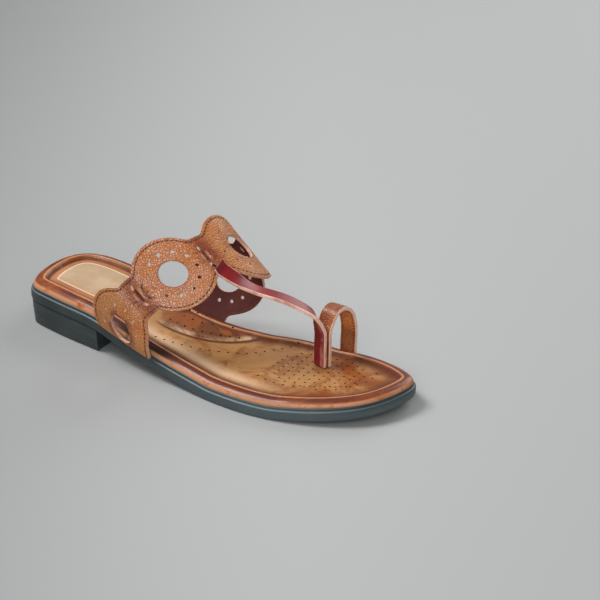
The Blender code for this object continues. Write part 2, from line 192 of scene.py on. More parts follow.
def evenSteps(line, pitch):
    # places along a polyline at even steps of about pitch, half a step from its ends
    far = np.concatenate([[0], np.cumsum(np.linalg.norm(np.diff(line, axis=0), axis=1))])
    count = max(int(round(far[-1] / pitch)), 1)
    at = (np.arange(count) + 0.5) * far[-1] / count
    return np.stack([np.interp(at, far, line[:, i]) for i in range(line.shape[1])], -1)


def threads(name, centres, ways, outs, size, surface, sides=8, rings=7):
    # Stitches: on each centre a small round-ended thread along its way, its ends drawn down into the leather.
    # A point is centre + way * length/2 * cos(v) + radius * sin(v)^0.6 * (side * cos(u) + out * sin(u)), less a
    # sink that grows towards the ends.
    ways = unit(ways)
    outs = unit(outs - (outs * ways).sum(-1, keepdims=True) * ways)
    sideways = np.cross(outs, ways)
    v = np.linspace(0, np.pi, rings)[1:-1]
    u = np.linspace(0, 2 * np.pi, sides, endpoint=False)
    length, radius = size["length"], size["radius"]
    girth = radius * np.sin(v)[:, None] ** 0.6
    local = np.stack([np.broadcast_to(length / 2 * np.cos(v)[:, None], (len(v), sides)),
                      girth * np.cos(u), 0.8 * girth * np.sin(u) - size["sink"] * np.cos(v)[:, None] ** 2], -1)
    ends = [[length / 2, 0, -size["sink"]], [-length / 2, 0, -size["sink"]]]
    local = np.concatenate([local.reshape(-1, 3), ends])
    points = (centres[:, None] + local[None, :, :1] * ways[:, None] + local[None, :, 1:2] * sideways[:, None]
              + local[None, :, 2:] * outs[:, None])
    index = np.arange(len(v) * sides).reshape(len(v), sides)
    here, after = np.arange(sides), np.roll(np.arange(sides), -1)
    tip, last = np.full(sides, len(v) * sides), (len(v) - 1) * sides
    start = np.stack([here, after, tip, tip], -1)
    end = np.stack([after + last, here + last, tip + 1, tip + 1], -1)
    faces = np.concatenate([gridFaces(index, True)[:, ::-1], start, end])
    shift = (np.arange(len(centres)) * len(local))[:, None, None]
    return meshFrom(name, points, (faces[None] + shift).reshape(-1, 4), [surface])


def standsFor(piece, node):
    # the piece rides on the sandal's one body and takes the node's place
    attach(piece, "root")
    if node:
        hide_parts(node)
    return piece


# shader maths

def tint(red, green, blue):
    # a colour given as on a screen, 0 to 255, as the shader's linear values
    share = np.array([red, green, blue]) / 255
    linear = np.where(share <= 0.04045, share / 12.92, ((share + 0.055) / 1.055) ** 2.4)
    return (*[float(value) for value in linear], 1.0)


class Wire:
    # one socket's value, on which + - * and abs work as on numbers
    def __init__(self, finish, socket):
        self.finish, self.socket = finish, socket

    def calc(self, operation, *values):
        # one Math node
        return self.finish.node("ShaderNodeMath", {"operation": operation}, dict(enumerate(values)))

    def __add__(self, other): return self.calc("ADD", self, other)
    def __radd__(self, other): return self.calc("ADD", other, self)
    def __sub__(self, other): return self.calc("SUBTRACT", self, other)
    def __rsub__(self, other): return self.calc("SUBTRACT", other, self)
    def __mul__(self, other): return self.calc("MULTIPLY", self, other)
    def __rmul__(self, other): return self.calc("MULTIPLY", other, self)
    def __abs__(self): return self.calc("ABSOLUTE", self)

    def fade(self, low, high):
        # 0 below low, 1 above high, eased between; low above high turns it round
        settings = {"interpolation_type": "SMOOTHSTEP", "clamp": True}
        if low < high:
            return self.finish.node("ShaderNodeMapRange", settings, {0: self, 1: low, 2: high, 3: 0.0, 4: 1.0})
        return self.finish.node("ShaderNodeMapRange", settings, {0: self, 1: high, 2: low, 3: 1.0, 4: 0.0})

    def least(self, other):
        return self.calc("MINIMUM", self, other)


class Finish:
    # one material, whose shader sockets take numbers, colours or wires
    def __init__(self, name):
        self.material = bpy.data.materials.new(name)
        self.material.use_nodes = True
        self.tree = self.material.node_tree
        self.shader = self.tree.nodes["Principled BSDF"]
        self.place = self.node("ShaderNodeTexCoord", {}, {}, "Object")

    def node(self, kind, settings, inputs, output=0):
        # a node of any kind: its settings first, then its sockets; gives back one output
        made = self.tree.nodes.new(kind)
        for key, value in settings.items():
            setattr(made, key, value)
        self.feed(made, inputs)
        return Wire(self, made.outputs[output])

    def feed(self, made, inputs):
        # a wire is linked, a number or colour is set
        for key, value in inputs.items():
            if isinstance(value, Wire):
                self.tree.links.new(value.socket, made.inputs[key])
            else:
                made.inputs[key].default_value = value

    def field(self, name):
        # a value kept on the mesh
        return self.node("ShaderNodeAttribute", {"attribute_name": name}, {}, "Fac")

    def noise(self, scale, detail=3.0, rough=0.55, stretch=None, warp=0.0):
        # cloudy values about 0.5, scale of them to the metre
        where = self.place
        if stretch:
            where = self.node("ShaderNodeMapping", {}, {"Vector": self.place, "Scale": stretch})
        inputs = {"Vector": where, "Scale": scale, "Detail": detail, "Roughness": rough, "Distortion": warp}
        return self.node("ShaderNodeTexNoise", {}, inputs, "Fac")

    def cells(self, scale, feature="F1", where=None):
        # distance to the nearest cell's middle, or to its edge
        inputs = {"Vector": where or self.place, "Scale": scale, "Randomness": 1.0}
        return self.node("ShaderNodeTexVoronoi", {"feature": feature}, inputs, "Distance")

    def mix(self, share, first, second):
        # a colour between two colours; share 0 is the first
        settings = {"data_type": "RGBA", "clamp_factor": True}
        return self.node("ShaderNodeMix", settings, {0: share, 6: first, 7: second}, 2)

    def raised(self, height, depth, strength=1.0):
        # normals from a height in metres times depth
        inputs = {"Height": height, "Distance": depth, "Strength": strength}
        return self.node("ShaderNodeBump", {}, inputs, "Normal")

    def set(self, **inputs):
        # feeds the shader's sockets by short names and gives back the material
        names = {"colour": "Base Color", "rough": "Roughness", "normal": "Normal", "coat": "Coat Weight",
                 "coatRough": "Coat Roughness", "sheen": "Sheen Weight", "specular": "Specular IOR Level"}
        self.feed(self.shader, {names[key]: value for key, value in inputs.items()})
        return self.material


# camera, at the photograph's angle

view = {"place": (1.1889, -1.6115, 1.0362), "target": (0.0931, 0.0935, 0.0), "roll": 0.89, "lens": 220.4}


def setCamera():
    # stands at place, looks at target and is rolled about that line
    lens = bpy.data.cameras.new("camera")
    lens.sensor_width = 36.0
    lens.lens = view["lens"]
    lens.clip_start, lens.clip_end = 0.05, 50.0
    camera = bpy.data.objects.new("camera", lens)
    bpy.context.collection.objects.link(camera)
    way = Vector(view["target"]) - Vector(view["place"])
    roll = Matrix.Rotation(math.radians(view["roll"]), 4, "Z")
    turn = way.to_track_quat("-Z", "Y").to_matrix().to_4x4() @ roll
    camera.matrix_world = Matrix.Translation(Vector(view["place"])) @ turn
    bpy.context.scene.camera = camera


setCamera()
print("camera set")


# sole: the curves that everything stands on

sole = {"length": 0.2565, "width": 0.086, "edge": 0.0084, "heelRise": 0.0158, "toeSpring": 0.0062,
        "ledge": 0.0012, "ledgeHeight": 0.80, "stations": 150}

# half widths as shares of the width, along as a share of the length
plan = columns(
    "along outer inner",
    (0.00, -0.042, 0.042),
    (0.02, 0.226, 0.287),
    (0.07, 0.302, 0.396),
    (0.15, 0.346, 0.408),
    (0.27, 0.391, 0.345),
    (0.40, 0.452, 0.268),
    (0.52, 0.498, 0.312),
    (0.64, 0.537, 0.423),
    (0.74, 0.523, 0.459),
    (0.83, 0.447, 0.459),
    (0.91, 0.317, 0.412),
    (0.97, 0.131, 0.328),
    (1.00, -0.174, 0.174),
)

# underside of the outsole: shares of heelRise and of toeSpring
sideLine = columns(
    "along heel toe",
    (0.00, 1.00, 0.00),
    (0.12, 1.00, 0.00),
    (0.20, 0.98, 0.00),
    (0.25, 0.89, 0.00),
    (0.30, 0.72, 0.00),
    (0.35, 0.555, 0.00),
    (0.40, 0.405, 0.00),
    (0.45, 0.283, 0.00),
    (0.50, 0.170, 0.00),
    (0.55, 0.075, 0.00),
    (0.60, 0.00, 0.00),
    (0.745, 0.00, 0.00),
    (0.80, 0.00, 0.16),
    (0.85, 0.00, 0.32),
    (0.90, 0.00, 0.50),
    (0.95, 0.00, 0.72),
    (1.00, 0.00, 1.00),
)


def planPoint(turn):
    # outline of the sole: turn 0 is the back of the heel, -1 and 1 the toe, negative on the little-toe side
    turn = (np.asarray(turn, float) + 1) % 2 - 1
    place = np.arccos(1 - 2 * plan["along"]) / np.pi
    once = np.concatenate([-place[:0:-1], place])
    across = np.concatenate([-plan["outer"][:0:-1], plan["inner"]])
    around = np.concatenate([once[-5:-1] - 2, once, once[1:5] + 2])
    across = np.concatenate([across[-5:-1], across, across[1:5]])
    x = sole["length"] * (1 - np.cos(np.pi * np.abs(turn))) / 2
    return np.stack([x, sole["width"] * spline(around, across, turn)], -1)


def soleLine(turn, inset):
    # the outline moved inwards by inset, at right angles to itself
    way = unit(planPoint(np.asarray(turn) + 0.004) - planPoint(np.asarray(turn) - 0.004))
    return planPoint(turn) + np.asarray(inset)[..., None] * np.stack([way[..., 1], -way[..., 0]], -1)


def under(x):
    # underside of the outsole: the heel's rise and the toe's spring, each times its share at x
    share = x / sole["length"]
    rise = sole["heelRise"] * ramp(sideLine["along"], sideLine["heel"], share)
    return rise + sole["toeSpring"] * ramp(sideLine["along"], sideLine["toe"], share)


def over(x):
    # top of the outsole, its edge's thickness above the underside
    return under(x) + sole["edge"]


def onLedge(x):
    # height of the step in the outsole's side, where the ends of the upper stand
    return under(x) + sole["ledgeHeight"] * sole["edge"] + gap


# once round the outline, from the back of the heel by the little-toe side to the toe and back
outerSteps, innerSteps = -np.arange(sole["stations"] + 1), np.arange(sole["stations"] - 1, 0, -1)
loopTurns = np.concatenate([outerSteps, innerSteps]) / sole["stations"]


def capRows(loop, across, height, start, first, flatEnd=False):
    # Rows from the outer to the inner side of a loop, straight in plan between facing points, with the given
    # height. The loop ends in one point, or with flatEnd in a straight row of across + 1 points. Returns the new
    # points and the matrix of point numbers.
    count = len(loop)
    half = (count - across) // 2 if flatEnd else count // 2
    rows = np.arange(1, half)
    share = np.arange(1, across)[None, :, None] / across
    flat = loop[rows, None, :2] * (1 - share) + loop[count - rows, None, :2] * share
    made = withHeight(flat, height(flat))
    number = start + np.arange(made.shape[0] * made.shape[1]).reshape(made.shape[:2])
    middle = np.concatenate([(first + rows)[:, None], number, (first + count - rows)[:, None]], 1)
    last = first + half + (np.arange(across + 1) if flatEnd else np.zeros(across + 1, int))
    return made.reshape(-1, 3), np.concatenate([np.full((1, across + 1), first), middle, last[None]])


def solidFrom(rings, across, floor, roof, flatEnd=False):
    # Closed solid from rings in plan order, lowest first, closed by rows at both ends: points and faces.
    count = rings.shape[1]
    index = np.arange(rings.shape[0] * count).reshape(rings.shape[0], count)
    points = rings.reshape(-1, 3)
    low, lowRows = capRows(rings[0], across, floor, len(points), 0, flatEnd)
    points = np.concatenate([points, low])
    high, highRows = capRows(rings[-1], across, roof, len(points), (rings.shape[0] - 1) * count, flatEnd)
    points = np.concatenate([points, high])
    return points, np.concatenate([gridFaces(index, True), gridFaces(lowRows), gridFaces(highRows)[:, ::-1]])


print("sole curves ready")


# outsole: black unit with a rounded tread edge, a step near its top, and cross grooves under the forefoot
outsole = {"across": 44, "grooveStep": 0.0052, "grooveDepth": 0.0007, "grooveWidth": 0.22, "grooveWave": 0.35,
           "waveLength": 0.012, "grooveStart": 0.130, "grooveMargin": 0.009, "fadeIn": 0.004, "fadeSide": 0.002}

# inset as a share of the ledge, height as a share of the edge
edgeLine = columns(
    "inset height",
    (1.60, 0.000),
    (1.10, 0.004),
    (0.72, 0.022),
    (0.42, 0.055),
    (0.20, 0.100),
    (0.06, 0.160),
    (0.00, 0.230),
    (0.00, 0.400),
    (0.00, 0.560),
    (0.00, 0.680),
    (0.05, 0.730),
    (0.22, 0.768),
    (0.50, 0.790),
    (0.80, 0.800),
    (0.97, 0.806),
    (1.00, 0.830),
    (1.00, 0.900),
    (1.00, 0.955),
    (1.08, 0.985),
    (1.25, 1.000),
)


def grooves(flat):
    # depth of the tread's cross grooves: a narrow eased valley each step along x, none near the side
    size = outsole
    wave = size["grooveWave"] * np.cos(flat[..., 1] / size["waveLength"])
    place = (flat[..., 0] - size["grooveStart"]) / size["grooveStep"] + wave
    valley = ease(1 - np.abs(place - np.round(place)) / size["grooveWidth"])
    inside = ease((edgeDistance(flat) - size["grooveMargin"]) / size["fadeSide"])
    along = ease((flat[..., 0] - size["grooveStart"]) / size["fadeIn"])
    return size["grooveDepth"] * valley * inside * along


def makeOutsole(surface):
    # rings up the edge line, each the outline moved in, closed by a grooved underside and a smooth top
    rings = []
    for inset, height in zip(edgeLine["inset"] * sole["ledge"], edgeLine["height"]):
        flat = soleLine(loopTurns, inset)
        rings.append(withHeight(flat, under(flat[:, 0]) + height * sole["edge"]))
    points, faces = solidFrom(
        np.array(rings), outsole["across"], lambda flat: under(flat[..., 0]) + grooves(flat),
        lambda flat: over(flat[..., 0]))
    made = meshFrom("outsole_unit", points, faces, [surface])
    return standsFor(made, "outsole")


# heel block, from the back of the sole to a straight breast
heelBlock = {"breast": 0.063, "inset": 0.0007, "corner": 0.0009, "cornerRun": 0.013, "rows": 70, "across": 16,
             "sharpAngle": 40.0}

# inset in metres, height as a share of the block and corner as a share of its rounding, with the seam over the
# top piece
heelLine = columns(
    "inset height corner",
    (0.0014, 0.000, 0.90),
    (0.0014, 0.012, 0.40),
    (0.0014, 0.035, 0.05),
    (0.0014, 0.070, 0.00),
    (0.0011, 0.250, 0.00),
    (0.0010, 0.290, 0.00),
    (0.0010, 0.300, 0.24),
    (0.0010, 0.310, 0.00),
    (0.0006, 0.550, 0.00),
    (0.0000, 0.930, 0.00),
    (0.0000, 0.965, 0.20),
    (0.0000, 1.000, 0.70),
)


def makeHeel(surface):
    # rings up the heel line: the outline as far as the breast, then straight across
    size = heelBlock
    reach = np.arccos(1 - 2 * size["breast"] / sole["length"]) / np.pi
    turns = reach * np.arange(size["rows"] + 1) / size["rows"]
    rings = []
    for inset, share, corner in zip(heelLine["inset"], heelLine["height"], heelLine["corner"]):
        moved = size["inset"] + inset + corner * size["corner"]
        outer, inner = soleLine(-turns, moved), soleLine(turns, moved)
        ends = np.linspace(0, 1, size["across"] + 1)[1:-1, None]
        for half in (outer, inner):
            near = (half[:, 0] - size["breast"]) / size["cornerRun"] + 1
            half[:, 0] -= ease(near) * corner * size["corner"]
        breast = outer[-1] * (1 - ends) + inner[-1] * ends
        flat = np.concatenate([outer, breast, inner[:0:-1]])
        rings.append(withHeight(flat, share * (under(flat[:, 0]) - gap)))
    points, faces = solidFrom(
        np.array(rings), size["across"], lambda flat: 0 * flat[..., 0],
        lambda flat: under(flat[..., 0]) - gap, True)
    made = meshFrom("heel_block", points, faces, [surface])
    made.data.set_sharp_from_angle(angle=math.radians(size["sharpAngle"]))
    return standsFor(made, "heel")


# place of the toe post, where both straps stand on the footbed
post = {"x": 0.1954, "y": 0.0128, "turn": -12.0, "stretch": 0.036, "gap": 0.0007}


# footbed: rounded rim, ridge, shallow cup and a cushion under the arch with a rolled edge
footbed = {"inset": 0.0015, "rimWidth": 0.0055, "rimHeight": 0.0042, "cupDepth": 0.0024, "archLip": 0.0018,
           "archRise": 0.0032, "archX": 0.100, "archY": 0.032, "archLength": 0.048, "archWidth": 0.0406,
           "archStart": 0.086, "lipWidth": 0.14, "riseWidth": 0.9, "startWidth": 0.020, "across": 110,
           "rowsInside": 30, "sharpAngle": 48.0}

# inside the rim: inset as a share of rimWidth, rise of rimHeight, dip of cupDepth
bedLine = columns(
    "inset rise dip",
    (1.00, 1.00, 0.00),
    (1.08, 1.07, 0.00),
    (1.24, 1.07, 0.00),
    (1.34, 0.93, 0.00),
    (1.42, 0.92, 0.10),
    (1.54, 0.92, 0.45),
    (1.68, 0.92, 0.88),
    (1.82, 0.92, 1.00),
    (2.70, 0.92, 1.00),
)

# along the footbed: depth of the cup and height of the rim, as shares
cupLine = columns(
    "along depth rim",
    (0.00, 1.00, 1.00),
    (0.12, 1.00, 1.05),
    (0.25, 1.00, 1.00),
    (0.45, 0.60, 0.90),
    (0.65, 0.50, 0.88),
    (1.00, 0.50, 0.88),
)

denseEdge = soleLine(np.linspace(-1, 1, 1201)[:-1], footbed["inset"])


def distanceTo(line, flat):
    # distance of each point from the nearest point of a dense line, a few thousand points at a time
    parts = np.array_split(flat.reshape(-1, 2), flat.size // 8000 + 1)
    near = [((part[:, None] - line) ** 2).sum(-1).min(-1) for part in parts]
    return np.sqrt(np.concatenate(near)).reshape(flat.shape[:-1])


def edgeDistance(flat):
    # distance from the footbed's outline, without a sign
    return distanceTo(denseEdge, flat)


def archAway(flat):
    # 0 in the middle of the arch cushion, 1 at its edge
    return np.hypot((flat[..., 0] - footbed["archX"]) / footbed["archLength"],
                    (flat[..., 1] - footbed["archY"]) / footbed["archWidth"])


def archCushion(flat):
    # an eased lip at the cushion's edge on an eased rise to its middle, faded in behind archStart
    inside = 1 - archAway(flat)
    lip = footbed["archLip"] * ease(inside / footbed["lipWidth"])
    rise = footbed["archRise"] * ease(inside / footbed["riseWidth"])
    return (lip + rise) * ease((flat[..., 0] - footbed["archStart"]) / footbed["startWidth"])


def bedTop(flat, inset=None):
    # height of the footbed: quarter round at the rim, then the ridge, the cup and the cushion
    inset = (edgeDistance(flat) if inset is None else inset) / footbed["rimWidth"]
    rounded = np.sqrt(np.clip(1 - (1 - np.clip(inset, 0, 1)) ** 2, 0, 1))
    rise = np.where(inset < 1, rounded, ramp(bedLine["inset"], bedLine["rise"], inset))
    along = flat[..., 0] / sole["length"]
    rise = rise * ramp(cupLine["along"], cupLine["rim"], along)
    dip = footbed["cupDepth"] * ramp(cupLine["along"], cupLine["depth"], along)
    dip = dip * ramp(bedLine["inset"], bedLine["dip"], inset)
    cushion = archCushion(flat) * ease((inset - 1.3) / 0.9)
    return over(flat[..., 0]) + gap + footbed["rimHeight"] * rise - dip + cushion


# perforations: rows of holes along curves through a few chosen points, in millimetres, and the field of the
# forefoot, a slanting grid inside an oval
bedHoles = {"radius": 0.00082, "depth": 0.0013, "fieldX": 0.1985, "fieldY": 0.0045, "fieldLong": 0.0325,
            "fieldWide": 0.0245, "fieldShare": 0.93, "stepX": 0.0054, "stepY": 0.0050, "stagger": 0.0022,
            "postRoom": 0.0065, "sides": 10, "narrow": 0.6}

# how many holes, and the points
bedRows = (
    (9, [(96.2, -1.8), (108.1, -2.6), (119.0, 0.5), (129.0, 5.3), (137.5, 11.2)]),
    (6, [(101.0, 5.8), (111.0, 6.4), (120.5, 11.5), (128.7, 17.2)]),
    (5, [(99.0, 14.4), (106.5, 15.6), (112.8, 20.0), (118.4, 24.0)]),
    (17, [(99.9, -22.4), (115.3, -18.7), (131.5, -11.6), (146.4, -2.3), (157.8, 9.7), (164.4, 19.0),
          (169.0, 28.0)]),
    (14, [(170.5, -18.2), (183.0, -20.0), (199.7, -16.0), (214.0, -9.8), (225.0, -2.4), (230.9, 6.5),
          (230.0, 18.5)]),
)


def bedPegs():
    # pegs for the holes: even steps along each row's curve, and the grid's points inside the oval and clear of
    # the post
    flat = []
    for count, marks in bedRows:
        marks = np.array(marks) / 1000
        far = np.concatenate([[0], np.cumsum(np.linalg.norm(np.diff(marks, axis=0), axis=1))])
        at = np.linspace(0, far[-1], count)
        flat.append(np.stack([spline(far, marks[:, i], at) for i in (0, 1)], -1))
    size = bedHoles
    i, j = np.meshgrid(np.arange(-8, 9), np.arange(-6, 7), indexing="ij")
    x = size["fieldX"] + size["stepX"] * i
    y = size["fieldY"] + size["stepY"] * j + size["stagger"] * (i % 2)
    oval = np.hypot((x - size["fieldX"]) / size["fieldLong"], (y - size["fieldY"]) / size["fieldWide"])
    kept = (oval < size["fieldShare"]) & (np.hypot(x - post["x"], y - post["y"]) > size["postRoom"])
    flat.append(np.stack([x[kept], y[kept]], -1))
    flat = np.concatenate(flat)
    centres = withHeight(flat, bedTop(flat))
    wide = np.tile([size["radius"], 0.0, 0.0], (len(flat), 1))
    across = np.tile([0.0, size["radius"], 0.0], (len(flat), 1))
    axes = np.tile([0.0, 0.0, size["depth"]], (len(flat), 1))
    return pegs(centres, wide, across, axes, size["sides"], size["narrow"])


def makeFootbed(surfaces):
    # rings from the outline in to the cup, its holes cut out, and the values that bedFinish reads
    arcs = footbed["rimWidth"] * (1 - np.cos(np.radians(np.linspace(8, 82, 9))))
    inside = footbed["rimWidth"] * np.linspace(1.0, 1.9, footbed["rowsInside"])
    insets = np.concatenate([arcs, inside])
    base = soleLine(loopTurns, footbed["inset"])
    rings = [withHeight(base, over(base[:, 0]) + gap)]
    for inset in insets:
        flat = soleLine(loopTurns, footbed["inset"] + inset)
        rings.append(withHeight(flat, bedTop(flat, inset)))
    points, faces = solidFrom(
        np.array(rings), footbed["across"], lambda flat: over(flat[..., 0]) + gap, bedTop)
    made = meshFrom("footbed_leather", points, faces, surfaces)
    pierce(made, *bedPegs(), 1)
    place = coords(made.data) + restPoint
    flat = place[:, :2]
    inset, away = edgeDistance(flat), archAway(flat)
    pastRim = ease((inset / footbed["rimWidth"] - 1.3) / 0.9)
    started = ease((flat[:, 0] - footbed["archStart"]) / 0.012) * pastRim
    along = flat[:, 0] / sole["length"]
    cushion = started * ease((1.0 - away) / 0.03)
    outer = ease((0.004 - flat[:, 1]) / 0.03)
    toe, heel = ease((along - 0.80) / 0.17), ease((0.30 - along) / 0.15)
    giveFields(made.data, {"inset": inset * 1000, "arch": away, "cushion": cushion, "started": started,
                           "outer": outer, "along": along, "toe": toe, "heel": heel})
    made.data.set_sharp_from_angle(angle=math.radians(footbed["sharpAngle"]))
    return standsFor(made, "footbed")


# heel pad: thin, with a rounded front
heelPad = {"inset": 0.0098, "length": 0.082, "front": 0.014, "thickness": 0.0010, "side": 70, "round": 26,
           "across": 40, "square": 0.7}

# lift and inset of the pad's edge, as shares of its thickness
padEdge = ((0.0, 0.0), (0.45, 0.0), (0.75, 0.15), (0.92, 0.4), (1.0, 0.8))


def padLoop(inset):
    # outline of the pad: the sole's own line moved in, and a squared round at its front
    size = heelPad
    frontStart = size["length"] - size["front"]
    reach = np.arccos(1 - 2 * frontStart / sole["length"]) / np.pi
    angle = np.linspace(0, np.pi / 2, size["round"])[1:]
    frontX = frontStart + (size["front"] - inset) * np.sin(angle) ** size["square"]
    frontY = np.clip(np.cos(angle), 0, 1) ** size["square"]
    total = footbed["inset"] + size["inset"] + inset
    turns = reach * np.arange(size["side"] + 1) / size["side"]
    outer, inner = soleLine(-turns, total), soleLine(turns, total)
    middle = (outer[-1] + inner[-1]) / 2
    outerFront = np.stack([frontX, middle[1] + (outer[-1, 1] - middle[1]) * frontY], -1)
    innerFront = np.stack([frontX, middle[1] + (inner[-1, 1] - middle[1]) * frontY], -1)
    return np.concatenate([outer, outerFront, innerFront[-2::-1], inner[:0:-1]])


def makePad(surface):
    # rings up the pad's edge, each its outline on the footbed, raised by its lift
    size = heelPad
    rings = []
    for lift, inset in padEdge:
        flat = padLoop(inset * size["thickness"])
        rings.append(withHeight(flat, bedTop(flat) + gap + lift * size["thickness"]))
    points, faces = solidFrom(
        np.array(rings), size["across"], lambda flat: bedTop(flat) + gap,
        lambda flat: bedTop(flat) + gap + size["thickness"])
    made = meshFrom("heel_pad_suede", points, faces, [surface])
    flat = points[:, :2]
    border = padLoop(0.0)
    fine = evenSteps(np.concatenate([border, border[:1]]), 0.0004)
    giveFields(made.data, {"rim": distanceTo(fine, flat) * 1000, "outer": ease((0.006 - flat[:, 1]) / 0.03),
                           "along": flat[:, 0] / size["length"]})
    return standsFor(made, "heel_pad")


# band: four pierced discs in one piece of leather
bandSize = {"leather": 0.0018, "instep": 0.0635, "disc": 0.0237, "neck": 0.0130, "blend": 0.003,
            "hole": 0.0084, "seatBlend": 0.024, "around": 60, "neckSteps": 16, "rings": 26,
            "rounding": 0.00035, "roundAngle": 55.0, "sharpAngle": 50.0}

# middle line, from the little-toe side: x of the sole's length, y of its width, height of the instep; slope
# and turn of the width in degrees; neck of the neck's half width. Every second row is a hole.
band = columns(
    "x y height slope turn neck",
    (0.3396, -0.434, 0.000, 15.4, -8.0, 1.00),
    (0.3400, -0.468, 0.146, 27.0, -4.5, 1.00),
    (0.3895, -0.443, 0.559, 35.7, -2.8, 1.00),
    (0.4511, -0.312, 0.832, 37.0, -2.6, 1.00),
    (0.5025, -0.098, 1.000, 36.5, 0.1, 1.06),
    (0.5267, 0.171, 0.973, 42.4, 2.0, 1.00),
    (0.5068, 0.384, 0.723, 39.9, 1.9, 1.00),
    (0.4468, 0.394, 0.381, 30.5, 0.2, 1.00),
    (0.4074, 0.271, 0.000, 13.0, 0.2, 1.00),
)


def bandFrame(place):
    # middle point and width direction at each place, a length along the band's middle line
    x = band["x"] * sole["length"]
    middle = np.stack([x, band["y"] * sole["width"], over(x) + band["height"] * bandSize["instep"]], -1)
    knots = np.concatenate([[0], np.cumsum(np.linalg.norm(np.diff(middle, axis=0), axis=1))])
    centre = np.stack([spline(knots, middle[:, i], place) for i in range(3)], -1)
    slope = np.radians(spline(knots, band["slope"], place))
    turn = np.radians(spline(knots, band["turn"], place))
    width = np.stack([np.cos(slope) * np.cos(turn), np.cos(slope) * np.sin(turn), -np.sin(slope)], -1)
    return centre, width, knots


bandKnots = bandFrame(0.0)[2]


def bandHalf(place):
    # half width of the band: a disc round each hole, joined by necks
    half = bandSize["neck"] * ramp(bandKnots, band["neck"], place)
    for hole in bandKnots[1::2]:
        disc = np.sqrt(np.clip(bandSize["disc"] ** 2 - (place - hole) ** 2, 0, None))
        blend = np.clip(bandSize["blend"] - np.abs(half - disc), 0, None)
        half = np.maximum(half, disc) + blend**2 / (4 * bandSize["blend"])
    return half


def edgeAt(x, inner, inset):
    # point of the sole's outline, moved inwards, that lies at x on the inner or outer side
    line = soleLine(np.linspace(0.02, 0.98, 600) * (1 if inner else -1), inset)
    return np.stack([x, np.interp(x, line[:, 0], line[:, 1])], -1)


def bandPoint(place, across):
    # middle surface of the band, its ends set on the edge of the sole beside the footbed
    centre, width, _ = bandFrame(place)
    point = centre + across[..., None] * width
    seatInset = sole["ledge"] - gap - bandSize["leather"] / 2
    for end, inner in ((0.0, False), (bandKnots[-1], True)):
        endCentre, endWidth, _ = bandFrame(np.full_like(place, end))
        ruled = endCentre + across[..., None] * endWidth
        foot = edgeAt(ruled[..., 0], inner, seatInset)
        seated = withHeight(foot, onLedge(foot[..., 0]))
        near = 1 - ease(np.abs(place - end) / bandSize["seatBlend"])
        point = point + near[..., None] * (seated - ruled)
    return point


def bandOut(place, across):
    # outward direction of the band
    step = 0.0005
    along = bandPoint(place + step, across) - bandPoint(place - step, across)
    wide = bandPoint(place, across + step) - bandPoint(place, across - step)
    return unit(np.cross(wide, along))


def discGrid(k):
    # places and crossings of one disc: rows of rings from its hole to its outline
    start, hole, end = bandKnots[2 * k:2 * k + 3]
    run = start + (end - start) * (1 - np.cos(np.linspace(0, np.pi, bandSize["around"]))) / 2
    across = np.linspace(1, -1, bandSize["neckSteps"])[1:-1]
    toeSide = np.stack([run, bandHalf(run)], -1)
    far = np.stack([np.full(len(across), end), across * bandHalf(np.array([end]))], -1)
    near = np.stack([np.full(len(across), start), -across * bandHalf(np.array([start]))], -1)
    outline = np.concatenate([toeSide, far, toeSide[::-1] * (1, -1), near])
    angle = np.arctan2(outline[:, 1], outline[:, 0] - hole)
    rim = np.stack([hole + bandSize["hole"] * np.cos(angle), bandSize["hole"] * np.sin(angle)], -1)
    share = np.linspace(0, 1, bandSize["rings"])[:, None, None]
    return rim + (outline - rim) * share


# rings of pinholes round the big holes; turns are in degrees, one for each disc
pinholes = {"ring": 0.0144, "count": 11, "radius": 0.00115, "turns": (-4.0, 10.0, 10.0, 12.0),
            "endMargin": 0.0025, "reach": 0.002, "sides": 14}

# slits by the neck: place from it and across in metres, half length, half width and lean in degrees
slits = columns(
    "neck place across long wide lean",
    (2, 0.0, 0.0058, 0.0019, 0.0008, 62.0),
    (2, 0.0, -0.0072, 0.0020, 0.0009, 98.0),
    (4, -0.0024, 0.0072, 0.0025, 0.0013, 72.0),
    (4, -0.0026, -0.0064, 0.0017, 0.0008, 100.0),
    (6, 0.0, 0.0062, 0.0020, 0.0010, 75.0),
    (6, 0.0, -0.0062, 0.0020, 0.0010, 105.0),
)

